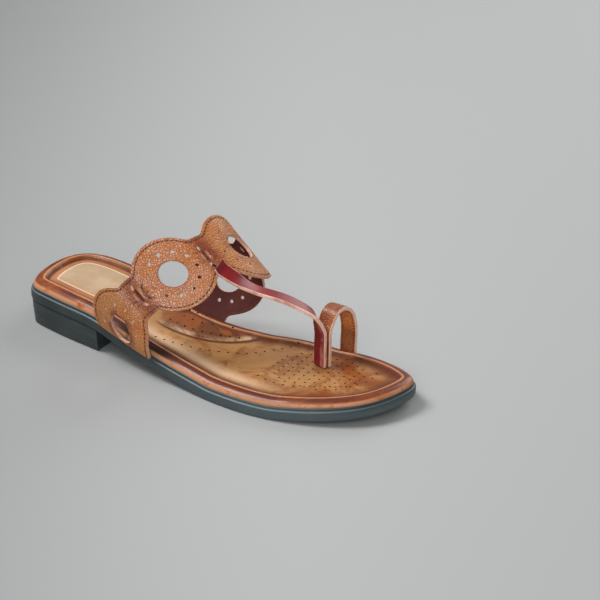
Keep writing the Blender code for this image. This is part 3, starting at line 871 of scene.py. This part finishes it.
# creases at the necks: place from the neck and across in millimetres, heading in degrees from the band's way,
# length, width and height in millimetres; below 0 is a valley
creases = columns(
    "neck place across heading length width height",
    (2, 0.3, -0.5, 90, 12.0, 1.10, -0.75),
    (2, -1.9, -0.2, 88, 11.0, 1.20, 0.45),
    (2, 2.2, -0.8, 93, 11.5, 1.25, 0.50),
    (2, 3.9, 2.6, 62, 6.0, 0.80, -0.32),
    (2, 4.2, -1.8, 118, 6.5, 0.75, -0.30),
    (2, 5.0, 0.4, 12, 6.0, 0.70, -0.26),
    (2, 5.6, -4.6, 152, 6.5, 0.70, -0.26),
    (2, 5.4, 5.2, 30, 7.0, 0.75, -0.26),
    (2, -3.8, 3.4, 150, 7.0, 0.75, -0.30),
    (2, -4.2, 0.6, 176, 7.0, 0.70, -0.28),
    (2, -4.4, -2.8, 20, 7.0, 0.75, -0.26),
    (2, -3.9, -6.0, 38, 6.0, 0.70, -0.22),
    (4, -2.5, 0.3, 92, 11.0, 0.85, -0.60),
    (4, -4.1, 0.2, 90, 9.0, 1.10, 0.35),
    (4, -0.8, 0.2, 90, 9.5, 1.10, 0.40),
    (4, 1.3, 2.2, 40, 5.5, 0.70, -0.22),
    (4, 1.5, -2.4, 140, 5.5, 0.70, -0.22),
    (4, -6.1, 3.0, 145, 6.0, 0.70, -0.24),
    (4, -6.5, -0.4, 5, 6.0, 0.65, -0.20),
    (4, -6.1, -3.8, 35, 5.5, 0.70, -0.22),
    (6, 0.0, 0.0, 90, 12.0, 1.05, -0.70),
    (6, -2.0, 0.0, 90, 10.0, 1.20, 0.45),
    (6, 2.0, 0.0, 90, 10.0, 1.20, 0.45),
    (6, 4.0, 3.0, 35, 6.5, 0.75, -0.26),
    (6, 4.2, -3.0, 145, 6.5, 0.75, -0.26),
    (6, -4.0, 3.2, 145, 6.5, 0.75, -0.26),
    (6, -4.2, -3.0, 35, 6.5, 0.75, -0.26),
)

bandStitch = {"margin": 0.0019, "pitch": 0.0026, "length": 0.0017, "radius": 0.00034, "sink": 0.00018,
              "groove": 0.00016, "grooveWidth": 0.0006, "end": 0.0012, "lift": 0.00005, "samples": 900}


def foldHeight(place, across):
    # sum of the creases: each is its height times a bell across its line and an eased fade along it
    total = np.zeros_like(place)
    for i in range(len(creases["neck"])):
        row = {key: creases[key][i] for key in creases}
        heading = np.radians(row["heading"])
        along = (place - bandKnots[int(row["neck"])]) * 1000 - row["place"]
        aside = across * 1000 - row["across"]
        far = along * np.cos(heading) + aside * np.sin(heading)
        off = aside * np.cos(heading) - along * np.sin(heading)
        bell = np.exp(-(off / row["width"]) ** 2)
        total += row["height"] * bell * ease(1.5 * (1 - np.abs(2 * far / row["length"])))
    return total / 1000


def edgeGap(place, across):
    # distance to the band's outline: the gap along the width, turned by the outline's slope
    step = 0.0002
    slope = (bandHalf(place + step) - bandHalf(place - step)) / (2 * step)
    return (bandHalf(place) - np.abs(across)) / np.sqrt(1 + slope**2)


def bandSurface(flat):
    # bends the flat leather: flat points are place, across and height over the middle surface
    place, across, height = flat[:, 0], flat[:, 1], flat[:, 2]
    middle = bandPoint(place, across)
    out = bandOut(place, across)
    seam = np.exp(-((edgeGap(place, across) - bandStitch["margin"]) / bandStitch["grooveWidth"]) ** 2)
    lift = foldHeight(place, across) - bandStitch["groove"] * seam * np.sign(height)
    return middle + (height + lift)[:, None] * out


def flatPegs():
    # pinholes round each big hole and slits at the necks, as pegs through the flat leather
    angle = np.radians(np.arange(pinholes["count"]) * 360 / pinholes["count"])
    places, across = [], []
    for k, turn in enumerate(pinholes["turns"]):
        x = bandKnots[2 * k + 1] + pinholes["ring"] * np.cos(angle + math.radians(turn))
        y = pinholes["ring"] * np.sin(angle + math.radians(turn))
        inside = (x > pinholes["endMargin"]) & (x < bandKnots[-1] - pinholes["endMargin"])
        places.append(x[inside])
        across.append(y[inside])
    places.append(bandKnots[slits["neck"].astype(int)] + slits["place"])
    across.append(slits["across"])
    places, across = np.concatenate(places), np.concatenate(across)
    small = len(places) - len(slits["neck"])
    long = np.concatenate([np.full(small, pinholes["radius"]), slits["long"]])
    wide = np.concatenate([np.full(small, pinholes["radius"]), slits["wide"]])
    lean = np.radians(np.concatenate([np.zeros(small), slits["lean"]]))
    centres = np.stack([places, across, 0 * places], -1)
    first = np.stack([np.cos(lean), np.sin(lean), 0 * lean], -1) * long[:, None]
    second = np.stack([-np.sin(lean), np.cos(lean), 0 * lean], -1) * wide[:, None]
    axes = np.tile([0.0, 0.0, pinholes["reach"]], (len(places), 1))
    return pegs(centres + restPoint, first, second, axes, pinholes["sides"])


def makeBand(surfaces):
    # the four discs are cut flat, given their wall, rounded edges and holes, and then bent over the instep
    grids = np.array([discGrid(k) for k in range(4)])
    index = np.arange(grids.size // 2).reshape(grids.shape[:3])
    faces = np.concatenate([gridFaces(rows, True) for rows in index])
    flat = withHeight(grids.reshape(-1, 2), 0.0)
    made = meshFrom("band_leather", flat + restPoint, faces, surfaces)
    weld = made.modifiers.new("weld", "WELD")
    weld.merge_threshold = 0.00001
    wall = made.modifiers.new("wall", "SOLIDIFY")
    wall.thickness = bandSize["leather"]
    wall.offset = 0
    wall.material_offset = 1
    wall.material_offset_rim = 2
    rounded = made.modifiers.new("rounded", "BEVEL")
    rounded.width = bandSize["rounding"]
    rounded.segments = 2
    rounded.angle_limit = math.radians(bandSize["roundAngle"])
    settle(made)
    pierce(made, *flatPegs(), 2)
    flat = coords(made.data)
    place, across = flat[:, 0], flat[:, 1]
    bent = bandSurface(flat) - restPoint
    made.data.vertices.foreach_set("co", bent.astype(np.float32).ravel())
    made.data.flip_normals()
    hole = np.min([np.hypot(place - x, across) for x in bandKnots[1::2]], axis=0)
    neck = np.min([np.abs(place - x) for x in bandKnots[2:-1:2]], axis=0)
    giveFields(made.data, {"place": place * 1000, "rim": edgeGap(place, across) * 1000,
                           "hole": (hole - bandSize["hole"]) * 1000, "neck": neck * 1000,
                           "fold": foldHeight(place, across) * 1000})
    made.data.update()
    made.data.shade_smooth()
    made.data.set_sharp_from_angle(angle=math.radians(bandSize["sharpAngle"]))
    return standsFor(made, "vamp_band")


def makeBandStitches(surface):
    # stitches along both outlines, a margin inside them
    lines = []
    place = np.linspace(bandStitch["end"], bandKnots[-1] - bandStitch["end"], bandStitch["samples"])
    for side in (1, -1):
        outline = np.stack([place, side * bandHalf(place)], -1)
        way = unit(np.gradient(outline, axis=0))
        line = outline + bandStitch["margin"] * side * np.stack([way[:, 1], -way[:, 0]], -1)
        lines.append(evenSteps(line, bandStitch["pitch"]))
    flat = np.concatenate(lines)
    ahead = np.concatenate([unit(np.gradient(line, axis=0)) for line in lines]) * 0.0004
    height = bandSize["leather"] / 2 + bandStitch["lift"]
    centre = bandSurface(withHeight(flat, height))
    way = bandSurface(withHeight(flat + ahead, height)) - bandSurface(withHeight(flat - ahead, height))
    out = bandOut(flat[:, 0], flat[:, 1])
    made = threads("band_stitches", centre, way, out, bandStitch, surface)
    return standsFor(made, None)


# straps: flat leather strips carried along their middle lines
strap = {"width": 0.0088, "thickness": 0.0024, "start": 0.0095, "lap": 0.0145, "aside": 0.0022, "lean": 0.25,
         "lapGap": 0.0003, "sink": 0.0028, "sinkLength": 0.0035, "corner": 0.0005, "rows": 170}
loop = {"width": 0.0108, "thickness": 0.0024, "corner": 0.0005, "rows": 150}

# free run of the centre strap: x of the way to the post, y of the sole's width, height of the instep; turn
strapRun = columns(
    "x y height turn",
    (0.30, -0.030, 0.770, -68.0),
    (0.53, 0.023, 0.727, -70.0),
    (0.67, 0.055, 0.692, -68.0),
    (0.80, 0.083, 0.645, -62.0),
    (0.915, 0.112, 0.575, -46.0),
    (0.975, 0.120, 0.485, -24.0),
)

# free run of the toe loop: x ahead of the post in loop widths, across as a share of the way to the edge
loopRun = columns(
    "x across height turn",
    (0.00, 0.105, 0.475, -8.0),
    (0.05, 0.20, 0.545, -3.0),
    (0.09, 0.38, 0.577, 0.0),
    (0.13, 0.58, 0.560, 0.0),
    (0.15, 0.78, 0.500, 0.0),
    (0.15, 0.93, 0.390, 0.0),
    (0.13, 1.01, 0.250, 0.0),
    (0.11, 1.01, 0.110, 0.0),
)

postRises = np.outer([0.0, 0.22, 0.44, 0.60], [0.0, 0.0, post["stretch"]])


def levelWay(turn):
    # level direction at a turn in degrees, 0 towards the toe
    turn = np.radians(np.asarray(turn, float))
    return np.stack([np.cos(turn), np.sin(turn), 0 * turn], -1)


def postFoot(shift):
    # middle of a strap's foot, moved aside by shift, on the highest point of the footbed under it
    aside = levelWay(post["turn"] + 90) * shift
    flat = np.array([post["x"], post["y"]]) + aside[:2]
    ends = flat + np.array([[-0.5], [0.0], [0.5]]) * loop["width"] * levelWay(post["turn"])[:2]
    return withHeight(flat, bedTop(ends).max() + 2 * gap)


def alongCurve(points, ways, count):
    # even steps along a smooth curve through the points, with the directions across it
    knots = np.concatenate([[0], np.cumsum(np.linalg.norm(np.diff(points, axis=0), axis=1))])
    at = np.linspace(0, knots[-1], count)
    centres = np.stack([spline(knots, points[:, i], at) for i in range(3)], -1)
    across = np.stack([ramp(knots, ways[:, i], at) for i in range(3)], -1)
    lengthwise = unit(np.gradient(centres, axis=0))
    across = across - (across * lengthwise).sum(-1, keepdims=True) * lengthwise
    return centres, unit(across), lengthwise, at


def strapLine():
    # on top of the band's middle neck, through the free run and down the post; its start is sunk into the slit
    laps = np.linspace(strap["start"], strap["lap"], 3)
    places = bandKnots[4] - strap["aside"] + strap["lean"] * (laps - strap["start"])
    above = bandSize["leather"] / 2 + strap["lapGap"] + strap["thickness"] / 2
    lapped = bandPoint(places, laps) + above * bandOut(places, laps)
    lapWay = unit(np.cross(lapped[-1] - lapped[0], bandOut(places, laps)))
    foot = postFoot(-(strap["thickness"] + post["gap"]) / 2)
    x = lapped[-1, 0] + strapRun["x"] * (post["x"] - lapped[-1, 0])
    free = np.stack([x, strapRun["y"] * sole["width"], over(x) + strapRun["height"] * bandSize["instep"]], -1)
    points = np.concatenate([lapped, free, (foot + postRises)[::-1]])
    turns = np.concatenate([strapRun["turn"], [post["turn"]] * len(postRises)])
    ways = np.concatenate([lapWay, levelWay(turns)])
    centres, across, lengthwise, at = alongCurve(points, ways, strap["rows"])
    sunk = strap["sink"] * (1 - ease(at / strap["sinkLength"]))
    return centres - sunk[:, None] * np.cross(lengthwise, across), across, lengthwise, at


def loopLine():
    # up the post, over the big toe and down to the ledge of the sole
    foot = postFoot((loop["thickness"] + post["gap"]) / 2)
    seatX = post["x"] + loopRun["x"][-1] * loop["width"]
    landing = edgeAt(np.array(seatX), True, sole["ledge"] - gap - loop["thickness"] / 2)
    seat = withHeight(landing, onLedge(landing[0] + np.array([-0.5, 0.5]) * loop["width"]).max())
    x = post["x"] + loopRun["x"] * loop["width"]
    y = foot[1] + loopRun["across"] * (landing[1] - foot[1])
    free = np.stack([x, y, over(x) + loopRun["height"] * bandSize["instep"]], -1)
    points = np.concatenate([foot + postRises, free, [seat]])
    turns = np.concatenate([[post["turn"]] * len(postRises), loopRun["turn"], [0.0]])
    return alongCurve(points, levelWay(turns), loop["rows"])


def stripProfile(size, steps=4):
    # cross-section of a strip: a rectangle with rounded corners, as offsets across and out
    angle = np.linspace(0, np.pi / 2, steps)
    arc = np.stack([np.cos(angle), np.sin(angle)], -1) * size["corner"]
    x, y = size["width"] / 2 - size["corner"], size["thickness"] / 2 - size["corner"]
    right, left = arc + (x, y), arc[::-1] * (-1, 1) + (-x, y)
    between = np.linspace(1, -1, 9)[1:-1, None] * (x, 0) + (0, size["thickness"] / 2)
    return np.concatenate([right, between, left, -right, -between, -left])


def makeStrip(name, line, profile, surfaces):
    # the profile carried along the line, closed by fans at both ends
    centres, across, lengthwise, at = line
    out = np.cross(lengthwise, across)
    rows = centres[:, None] + profile[None, :, :1] * across[:, None] + profile[None, :, 1:] * out[:, None]
    count = len(profile)
    index = np.arange(rows.shape[0] * count).reshape(rows.shape[0], count)
    faces = [gridFaces(index, True)]
    points = np.concatenate([rows.reshape(-1, 3), centres[:1], centres[-1:]])
    for ring, middle, flip in ((index[0], index.size, False), (index[-1], index.size + 1, True)):
        fan = np.stack([ring, np.full(count, middle), np.full(count, middle), np.roll(ring, -1)], -1)
        faces.append(fan[:, ::-1] if flip else fan)
    fields = {"along": np.append(np.repeat(at, count), [at[0], at[-1]]) * 1000,
              "side": np.append(np.tile(profile[:, 0], len(at)), [0, 0]) * 1000,
              "out": np.append(np.tile(profile[:, 1], len(at)), [0, 0]) * 1000}
    return meshFrom(name, points, np.concatenate(faces), surfaces, None, fields)


def makeStripStitches(name, line, size, side, surface):
    # stitches along one side of a strip, on its upper face
    centres, across, lengthwise, _ = line
    out = np.cross(lengthwise, across)
    aside, above = side * (size["width"] / 2 - size["margin"]), size["thickness"] / 2 + size["lift"]
    path = centres + across * aside + out * above
    far = np.concatenate([[0], np.cumsum(np.linalg.norm(np.diff(path, axis=0), axis=1))])
    steps = np.arange(size["start"], far[-1] - size["end"], size["pitch"])
    centre, way, outs = (np.stack([np.interp(steps, far, rows[:, i]) for i in range(3)], -1)
                         for rows in (path, lengthwise, out))
    return threads(name, centre, way, outs, size, surface)


# finishes; the values on the meshes are in millimetres, but arch, the masks, and along on the footbed and the pad
# are shares

def rubberFinish():
    # dark slate rubber with a fine dull grain, a painted highlight on the faces that look up and a painted
    # highlight low on the side wall towards the toe
    f = Finish("black rubber")
    cloud = f.noise(38.0, 4.0)
    fine = f.noise(900.0, 2.0)
    # high is how far a face looks up: the next mix paints a highlight on the ledge and other upward faces
    high = f.node("ShaderNodeSeparateXYZ", {}, {0: f.node("ShaderNodeNewGeometry", {}, {}, "Normal")}, "Z")
    colour = f.mix(cloud.fade(0.35, 0.68), tint(34, 42, 44), tint(50, 60, 61))
    colour = f.mix(high.fade(0.25, 0.95) * 0.75, colour, tint(96, 108, 111))
    # painted highlight: the lower side wall made paler, more towards the toe
    low = f.node("ShaderNodeSeparateXYZ", {}, {0: f.place}, "Z").fade(0.014, 0.007)
    ahead = f.node("ShaderNodeSeparateXYZ", {}, {0: f.place}, "X").fade(0.03, 0.18)
    colour = f.mix(low * (ahead * 0.4 + 0.02), colour, tint(104, 120, 126))
    height = fine * 0.7 + cloud * 0.6
    return f.set(colour=colour, rough=cloud * 0.22 + 0.34, normal=f.raised(height, 0.00012, 0.5), specular=0.5)


def stackFinish():
    # the outsole's rubber with faint level layers
    f = Finish("black stack")
    layers = f.noise(26.0, 3.0, stretch=(1.0, 1.0, 14.0))
    cloud = f.noise(30.0, 4.0)
    fine = f.noise(1100.0, 2.0)
    colour = f.mix(cloud.fade(0.3, 0.7), tint(36, 44, 45), tint(52, 61, 61))
    colour = f.mix(layers.fade(0.5, 0.7) * 0.3, colour, tint(72, 80, 80))
    height = fine * 0.6 + layers * 0.5
    return f.set(colour=colour, rough=cloud * 0.2 + 0.38, normal=f.raised(height, 0.0001, 0.45))


def bedFinish():
    # Antiqued tan leather: golden floor, dark burnish with painted shade inside the ridge, a painted highlight
    # along the ridge and on the cushion's lip, and painted shade in the crease below the lip. inset is 0 at the
    # outline: the rounded bead ends at 5.5, the ridge lies from there to 7.5, and the cup is inside it.
    f = Finish("bed leather")
    inset, arch, cushion = f.field("inset"), f.field("arch"), f.field("cushion")
    outer, toe, heel, along = f.field("outer"), f.field("toe"), f.field("heel"), f.field("along")
    started = f.field("started")
    # lip marks a painted highlight on the cushion's rolled lip, crease painted shade in the crease below it
    lip = started * arch.fade(0.90, 0.955) * arch.fade(1.0, 0.97)
    crease = started * arch.fade(0.98, 1.0) * arch.fade(1.07, 1.012)
    cloud = f.noise(22.0, 4.0, 0.6, warp=0.6)
    blot = f.noise(60.0, 5.0, 0.65, warp=1.0)
    small = f.noise(260.0, 4.0, 0.6)
    pores = f.noise(1500.0, 2.0)
    floor = f.mix(cloud.fade(0.4, 0.58), tint(142, 76, 24), tint(182, 132, 80))
    floor = f.mix(blot.fade(0.46, 0.64) * 0.65, floor, tint(124, 60, 18))
    # painted reflection: a pale streak along the outer side of the floor
    floorHighlight = inset.fade(10.0, 14.0) * inset.fade(26.0, 15.0) * outer * cloud.fade(0.28, 0.55)
    floorHighlight = floorHighlight * along.fade(0.78, 0.6)
    floor = f.mix(floorHighlight * 0.85, floor, tint(226, 188, 152))
    # dark burnish inside the ridge, with painted shade where the floor falls away from it
    burn = inset.fade(7.1, 7.8) * inset.fade(17.0, 8.2)
    burn = burn * (blot * 1.2 + 0.45).least(1.0) * (1.0 - heel * 0.45)
    floor = f.mix(burn * 0.92, floor, tint(88, 34, 8))
    floor = f.mix(toe * inset.fade(20.0, 8.0) * 0.7, floor, tint(96, 44, 22))
    mottled = f.mix(blot.fade(0.42, 0.6), tint(88, 32, 8), tint(148, 78, 34))
    mottled = f.mix(small.fade(0.5, 0.7) * 0.4, mottled, tint(72, 22, 6))
    floor = f.mix(cushion * 0.85, floor, mottled)
    # painted highlight on the cushion's lip, then painted shade in its crease
    floor = f.mix((lip * blot.fade(0.3, 0.6)).least(0.8), floor, tint(206, 166, 132))
    floor = f.mix((crease * 0.9).least(1.0), floor, tint(70, 30, 12))
    bead = f.mix(blot.fade(0.34, 0.66), tint(158, 80, 24), tint(112, 44, 10))
    streak = cloud.fade(0.38, 0.52) * inset.fade(1.2, 2.4)
    bead = f.mix(streak * 0.85, bead, tint(94, 34, 8))
    # burnish and painted shade: the bead made very dark where the band's outer foot covers it
    footed = along.fade(0.24, 0.34) * along.fade(0.52, 0.44) * outer
    bead = f.mix(footed * 0.95, bead, tint(50, 20, 12))
    bead = f.mix(toe * inset.fade(1.4, 3.0) * 0.5, bead, tint(104, 50, 28))
    # pinkish pale lower edge of the bead, in part a painted highlight
    bead = f.mix(inset.fade(1.7, 0.6) * blot.fade(0.3, 0.5) * 0.75, bead, tint(214, 152, 112))
    colour = f.mix(inset.fade(7.3, 6.7), floor, bead)
    # painted highlight along the crest of the ridge
    ridge = inset.fade(5.5, 6.1) * inset.fade(7.15, 6.75)
    colour = f.mix(ridge * 0.75 * (small * 0.8 + 0.5).least(1.0), colour, tint(216, 154, 108))
    colour = f.mix(small.fade(0.56, 0.78) * 0.3, colour, tint(100, 50, 20))
    height = small * 0.9 + pores * 0.35 + blot * 1.2
    shade = (burn + footed).least(1.0)
    rough = blot * 0.22 + 0.24 + small * 0.08 + shade * 0.35
    return f.set(colour=colour, rough=rough, normal=f.raised(height, 0.00016, 0.42), coat=(1.0 - shade) * 0.2,
                 coatRough=0.13, specular=0.32)


def holeFinish(name, colour):
    # inside of a punched hole, painted dark as the shade in it
    f = Finish(name)
    fine = f.noise(1400.0, 3.0)
    shade = f.mix(fine.fade(0.35, 0.7), tint(*colour), tint(*[value * 0.7 for value in colour]))
    return f.set(colour=shade, rough=0.85, normal=f.raised(fine, 0.0001, 0.5))


def suedeFinish():
    # beige nap with a painted highlight along its border and warm burnish towards the outer edge
    f = Finish("beige suede")
    rim, outer, along = f.field("rim"), f.field("outer"), f.field("along")
    nap = f.noise(900.0, 4.0, 0.7)
    cloud = f.noise(45.0, 4.0)
    colour = f.mix(cloud.fade(0.35, 0.65), tint(172, 140, 106), tint(190, 162, 128))
    colour = f.mix(nap.fade(0.4, 0.7) * 0.35, colour, tint(160, 132, 100))
    colour = f.mix(rim.fade(12.0, 4.0) * outer * 0.5, colour, tint(178, 112, 54))
    margin = f.mix(cloud.fade(0.35, 0.65), tint(156, 88, 36), tint(176, 110, 56))
    colour = f.mix(rim.fade(4.6, 4.1), colour, margin)
    colour = f.mix(rim.fade(2.4, 0.4) * 0.5, colour, tint(110, 50, 18))
    colour = f.mix(along.fade(0.16, 0.02) * 0.6, colour, tint(140, 76, 34))
    # painted highlight: a pale line where the pad's edge rises
    colour = f.mix(rim.fade(4.0, 4.3) * rim.fade(5.2, 4.8) * 0.8, colour, tint(228, 206, 170))
    return f.set(colour=colour, rough=0.62 + nap * 0.2, normal=f.raised(nap, 0.00014, 0.5), sheen=0.25)


def bandFinish():
    # pebbled tan leather, darker round the necks, with painted shade in the valleys of the folds and a painted
    # highlight on their crests, rosy, with a painted highlight on the high grain
    f = Finish("band leather")
    rim, hole, neck = f.field("rim"), f.field("hole"), f.field("neck")
    fold, place = f.field("fold"), f.field("place")
    cloud = f.noise(34.0, 4.0, 0.6, warp=0.8)
    blot = f.noise(120.0, 4.0, 0.6)
    shift = f.node("ShaderNodeTexNoise", {}, {"Vector": f.place, "Scale": 420.0, "Detail": 2.0}, "Color")
    warp = f.node("ShaderNodeVectorMath", {"operation": "MULTIPLY_ADD"}, {0: shift, 1: [0.0011] * 3, 2: f.place})
    grain = f.cells(680.0, "DISTANCE_TO_EDGE", warp).fade(0.0, 0.24)
    fine = f.noise(1500.0, 3.0)
    colour = f.mix(cloud.fade(0.35, 0.65), tint(208, 126, 58), tint(216, 148, 88))
    colour = f.mix(blot.fade(0.5, 0.78) * 0.45, colour, tint(176, 88, 32))
    rosy = place.fade(22.0, 40.0) * place.fade(92.0, 66.0)
    colour = f.mix(rosy * cloud.fade(0.3, 0.6) * 0.55, colour, tint(222, 156, 122))
    smooth = place.fade(22.0, 12.0)
    colour = f.mix(smooth * 0.6, colour, tint(224, 140, 72))
    colour = f.mix((1.0 - grain) * (1.0 - smooth * 0.6) * 0.42, colour, tint(140, 62, 26))
    # painted highlight: pinkish-white glints on the high grain
    sheen = place.fade(24.0, 30.0) * place.fade(52.0, 40.0)
    colour = f.mix(grain * (rosy * 0.3 + sheen * 0.35) * blot.fade(0.4, 0.56), colour, tint(242, 198, 184))
    burn = neck.fade(9.5, 0.5) * (blot * 1.1 + 0.3)
    colour = f.mix((burn * 0.85).least(0.85), colour, tint(128, 38, 4))
    patches = cloud.fade(0.42, 0.56) * blot.fade(0.38, 0.56)
    colour = f.mix(hole.fade(6.0, 0.5) * patches * 0.7, colour, tint(112, 44, 16))
    # painted shade in the valleys of the folds, then a painted highlight on their crests
    colour = f.mix(fold.fade(-0.04, -0.32) * 0.85, colour, tint(78, 28, 16))
    colour = f.mix(fold.fade(0.04, 0.36) * 0.6, colour, tint(232, 172, 142))
    stitched = rim.fade(1.1, 1.6) * rim.fade(2.8, 2.2)
    colour = f.mix(stitched * 0.45, colour, tint(118, 58, 36))
    colour = f.mix(hole.fade(1.4, 0.2) * 0.4, colour, tint(132, 70, 48))
    height = grain + fine * 0.12 + blot * 0.4
    rough = 0.44 - grain * 0.16 + blot * 0.1
    return f.set(colour=colour, rough=rough, normal=f.raised(height, 0.00046, 1.0), coat=0.12, coatRough=0.18,
                 specular=0.4)


def liningFinish():
    # dark wine-brown lining with a fine dull grain
    f = Finish("band lining")
    fine = f.noise(1300.0, 3.0)
    cloud = f.noise(60.0, 4.0)
    colour = f.mix(cloud.fade(0.35, 0.65), tint(78, 24, 18), tint(96, 38, 28))
    colour = f.mix(fine.fade(0.5, 0.75) * 0.3, colour, tint(58, 20, 18))
    return f.set(colour=colour, rough=0.55 + cloud * 0.15, normal=f.raised(fine, 0.0001, 0.4))


def edgeFinish(name, light, dark):
    # cut edge of leather: fibres, rubbed pale
    f = Finish(name)
    fine = f.noise(1100.0, 3.0)
    cloud = f.noise(90.0, 3.0)
    colour = f.mix(fine.fade(0.35, 0.7), tint(*light), tint(*dark))
    colour = f.mix(cloud.fade(0.5, 0.75) * 0.35, colour, tint(*dark))
    return f.set(colour=colour, rough=0.62, normal=f.raised(fine, 0.00012, 0.5))


def threadFinish(name, colour):
    # waxed thread, darker in its twist
    f = Finish(name)
    twist = f.noise(1600.0, 2.0)
    shade = f.mix(twist.fade(0.4, 0.65), tint(*colour), tint(*[value * 0.6 for value in colour]))
    return f.set(colour=shade, rough=0.6, normal=f.raised(twist, 0.0001, 0.6))


def wineFinish():
    # glazed wine-red leather with painted shade on the far half of its top, a painted highlight on the near half
    # and a dark line of painted shade between them; its cut edges pale
    f = Finish("wine leather")
    side, out = f.field("side"), f.field("out")
    streak = f.noise(120.0, 4.0, 0.6)
    grain = f.cells(1250.0)
    cloud = f.noise(42.0, 4.0)
    colour = f.mix(cloud.fade(0.35, 0.65), tint(146, 26, 30), tint(118, 16, 40))
    colour = f.mix(streak.fade(0.5, 0.72) * 0.35, colour, tint(176, 84, 86))
    colour = f.mix(grain.fade(0.25, 0.6) * 0.35, colour, tint(80, 12, 22))
    face = out.fade(0.2, 0.8)
    # far is painted shade on the far half of the top, near a painted highlight on the near half
    far, near = side.fade(0.2, -3.0) * face, side.fade(0.7, 1.0) * face
    colour = f.mix(far * cloud.fade(0.34, 0.6) * 0.6, colour, tint(104, 10, 34))
    colour = f.mix(near * streak.fade(0.38, 0.6) * 0.55, colour, tint(206, 130, 124))
    # painted shade: a dark line along the middle of the top, as of a groove
    colour = f.mix(side.fade(0.35, 0.6) * side.fade(1.05, 0.8) * face * 0.6, colour, tint(84, 16, 24))
    cut = abs(side).fade(3.95, 4.2)
    raw = f.mix(streak.fade(0.4, 0.7), tint(248, 206, 188), tint(218, 152, 130))
    colour = f.mix(cut, colour, raw)
    height = grain * 0.5 + streak * 0.6
    return f.set(colour=colour, rough=streak * 0.2 + 0.3, normal=f.raised(height, 0.00018, 0.5), coat=0.14,
                 coatRough=0.2, specular=0.35)


outerFoot = (58.0, 70.0)  # burnish towards the outer foot: where it starts and is full, in mm along the loop


def loopFinish():
    # pebbled tan leather like the band's, one face paler as a painted highlight and the other darker as painted
    # shade, pale at its cut edges and burnt towards its outer foot
    f = Finish("loop leather")
    side, out, along = f.field("side"), f.field("out"), f.field("along")
    blot = f.noise(110.0, 4.0, 0.6)
    cloud = f.noise(50.0, 4.0)
    grain = f.cells(640.0, "DISTANCE_TO_EDGE").fade(0.0, 0.24)
    colour = f.mix(cloud.fade(0.35, 0.65), tint(188, 102, 42), tint(182, 112, 60))
    # painted highlight on the face where out is positive, painted shade on the other face
    colour = f.mix(out.fade(0.4, 0.9) * 0.9, colour, tint(250, 164, 96))
    colour = f.mix(out.fade(-0.4, -0.9) * cloud.fade(0.36, 0.56) * 0.75, colour, tint(112, 50, 20))
    colour = f.mix((1.0 - grain) * 0.55, colour, tint(126, 58, 26))
    colour = f.mix(blot.fade(0.5, 0.75) * 0.4, colour, tint(140, 64, 28))
    colour = f.mix(along.fade(*outerFoot) * 0.7, colour, tint(92, 36, 16))
    colour = f.mix(abs(side).fade(4.95, 5.2), colour, tint(244, 204, 182))
    height = grain + blot * 0.4
    return f.set(colour=colour, rough=0.44 - grain * 0.1, normal=f.raised(height, 0.00026, 0.7), coat=0.18,
                 coatRough=0.25)


makeOutsole(rubberFinish())
makeHeel(stackFinish())
# the holes' walls are painted dark brown as painted shade inside the holes
makeFootbed([bedFinish(), holeFinish("bed hole", (58, 30, 18))])
makePad(suedeFinish())
print("sole made")

makeBand([bandFinish(), liningFinish(), edgeFinish("band edge", (224, 182, 158), (190, 128, 98))])
makeBandStitches(threadFinish("dark thread", (92, 34, 18)))
print("band made")

centreStrap = makeStrip("strap_leather", strapLine(), stripProfile(strap), [wineFinish()])
standsFor(centreStrap, "t_strap")
toeLoop = makeStrip("loop_leather", loopLine(), stripProfile(loop), [loopFinish()])
standsFor(toeLoop, "toe_loop")
loopStitch = {**loop, "margin": 0.0015, "pitch": 0.0024, "length": 0.0016, "radius": 0.0003, "sink": 0.00016,
              "lift": 0.00004, "start": 0.004, "end": 0.003}
loopThread = threadFinish("loop thread", (96, 44, 28))
for word, side in (("toe", 1), ("heel", -1)):
    stitches = makeStripStitches("loop_stitches_" + word, loopLine(), loopStitch, side, loopThread)
    standsFor(stitches, None)
print("pieces made")


# floor and soft studio light

stage = {"half": 3.0, "slope": (0.84, 0.54, 0.0), "from": -0.24, "to": 0.16, "sky": 0.34, "aim": (0.1, 0.0, 0.0)}

# name, place, size in metres and power in watts
lamps = (
    ("key", (-0.45, -0.25, 1.1), 0.5, 12.5),
    ("fill", (0.7, -1.1, 0.7), 0.9, 7.5),
    ("back", (0.2, 1.1, 0.7), 0.8, 6.5),
)


def makeStage():
    # a square of paper with painted shade, darker to the camera's left, under an even sky and three lamps
    corners = np.array([(-1, -1, 0), (1, -1, 0), (1, 1, 0), (-1, 1, 0)])
    f = Finish("floor paper")
    place = f.node("ShaderNodeVectorMath", {"operation": "DOT_PRODUCT"}, {0: f.place, 1: stage["slope"]}, "Value")
    # painted shade: the paper's colour darkens towards the camera's left
    grey = f.mix(place.fade(stage["from"], stage["to"]), tint(126, 127, 127), tint(172, 173, 173))
    paper = f.set(colour=grey, rough=0.9)
    meshFrom("floor", stage["half"] * corners + restPoint, [[0, 1, 2, 3]], [paper])
    world = bpy.data.worlds.new("studio")
    world.use_nodes = True
    sky = world.node_tree.nodes["Background"].inputs
    sky["Color"].default_value = tint(226, 227, 227)
    sky["Strength"].default_value = stage["sky"]
    bpy.context.scene.world = world
    bpy.context.scene.view_settings.view_transform = "Standard"
    for name, place, width, power in lamps:
        lamp = bpy.data.lights.new(name, "AREA")
        lamp.size = width
        lamp.energy = power
        made = bpy.data.objects.new(name, lamp)
        bpy.context.collection.objects.link(made)
        turn = (Vector(stage["aim"]) - Vector(place)).to_track_quat("-Z", "Y").to_matrix().to_4x4()
        made.matrix_world = Matrix.Translation(Vector(place)) @ turn


makeStage()
print("stage made")
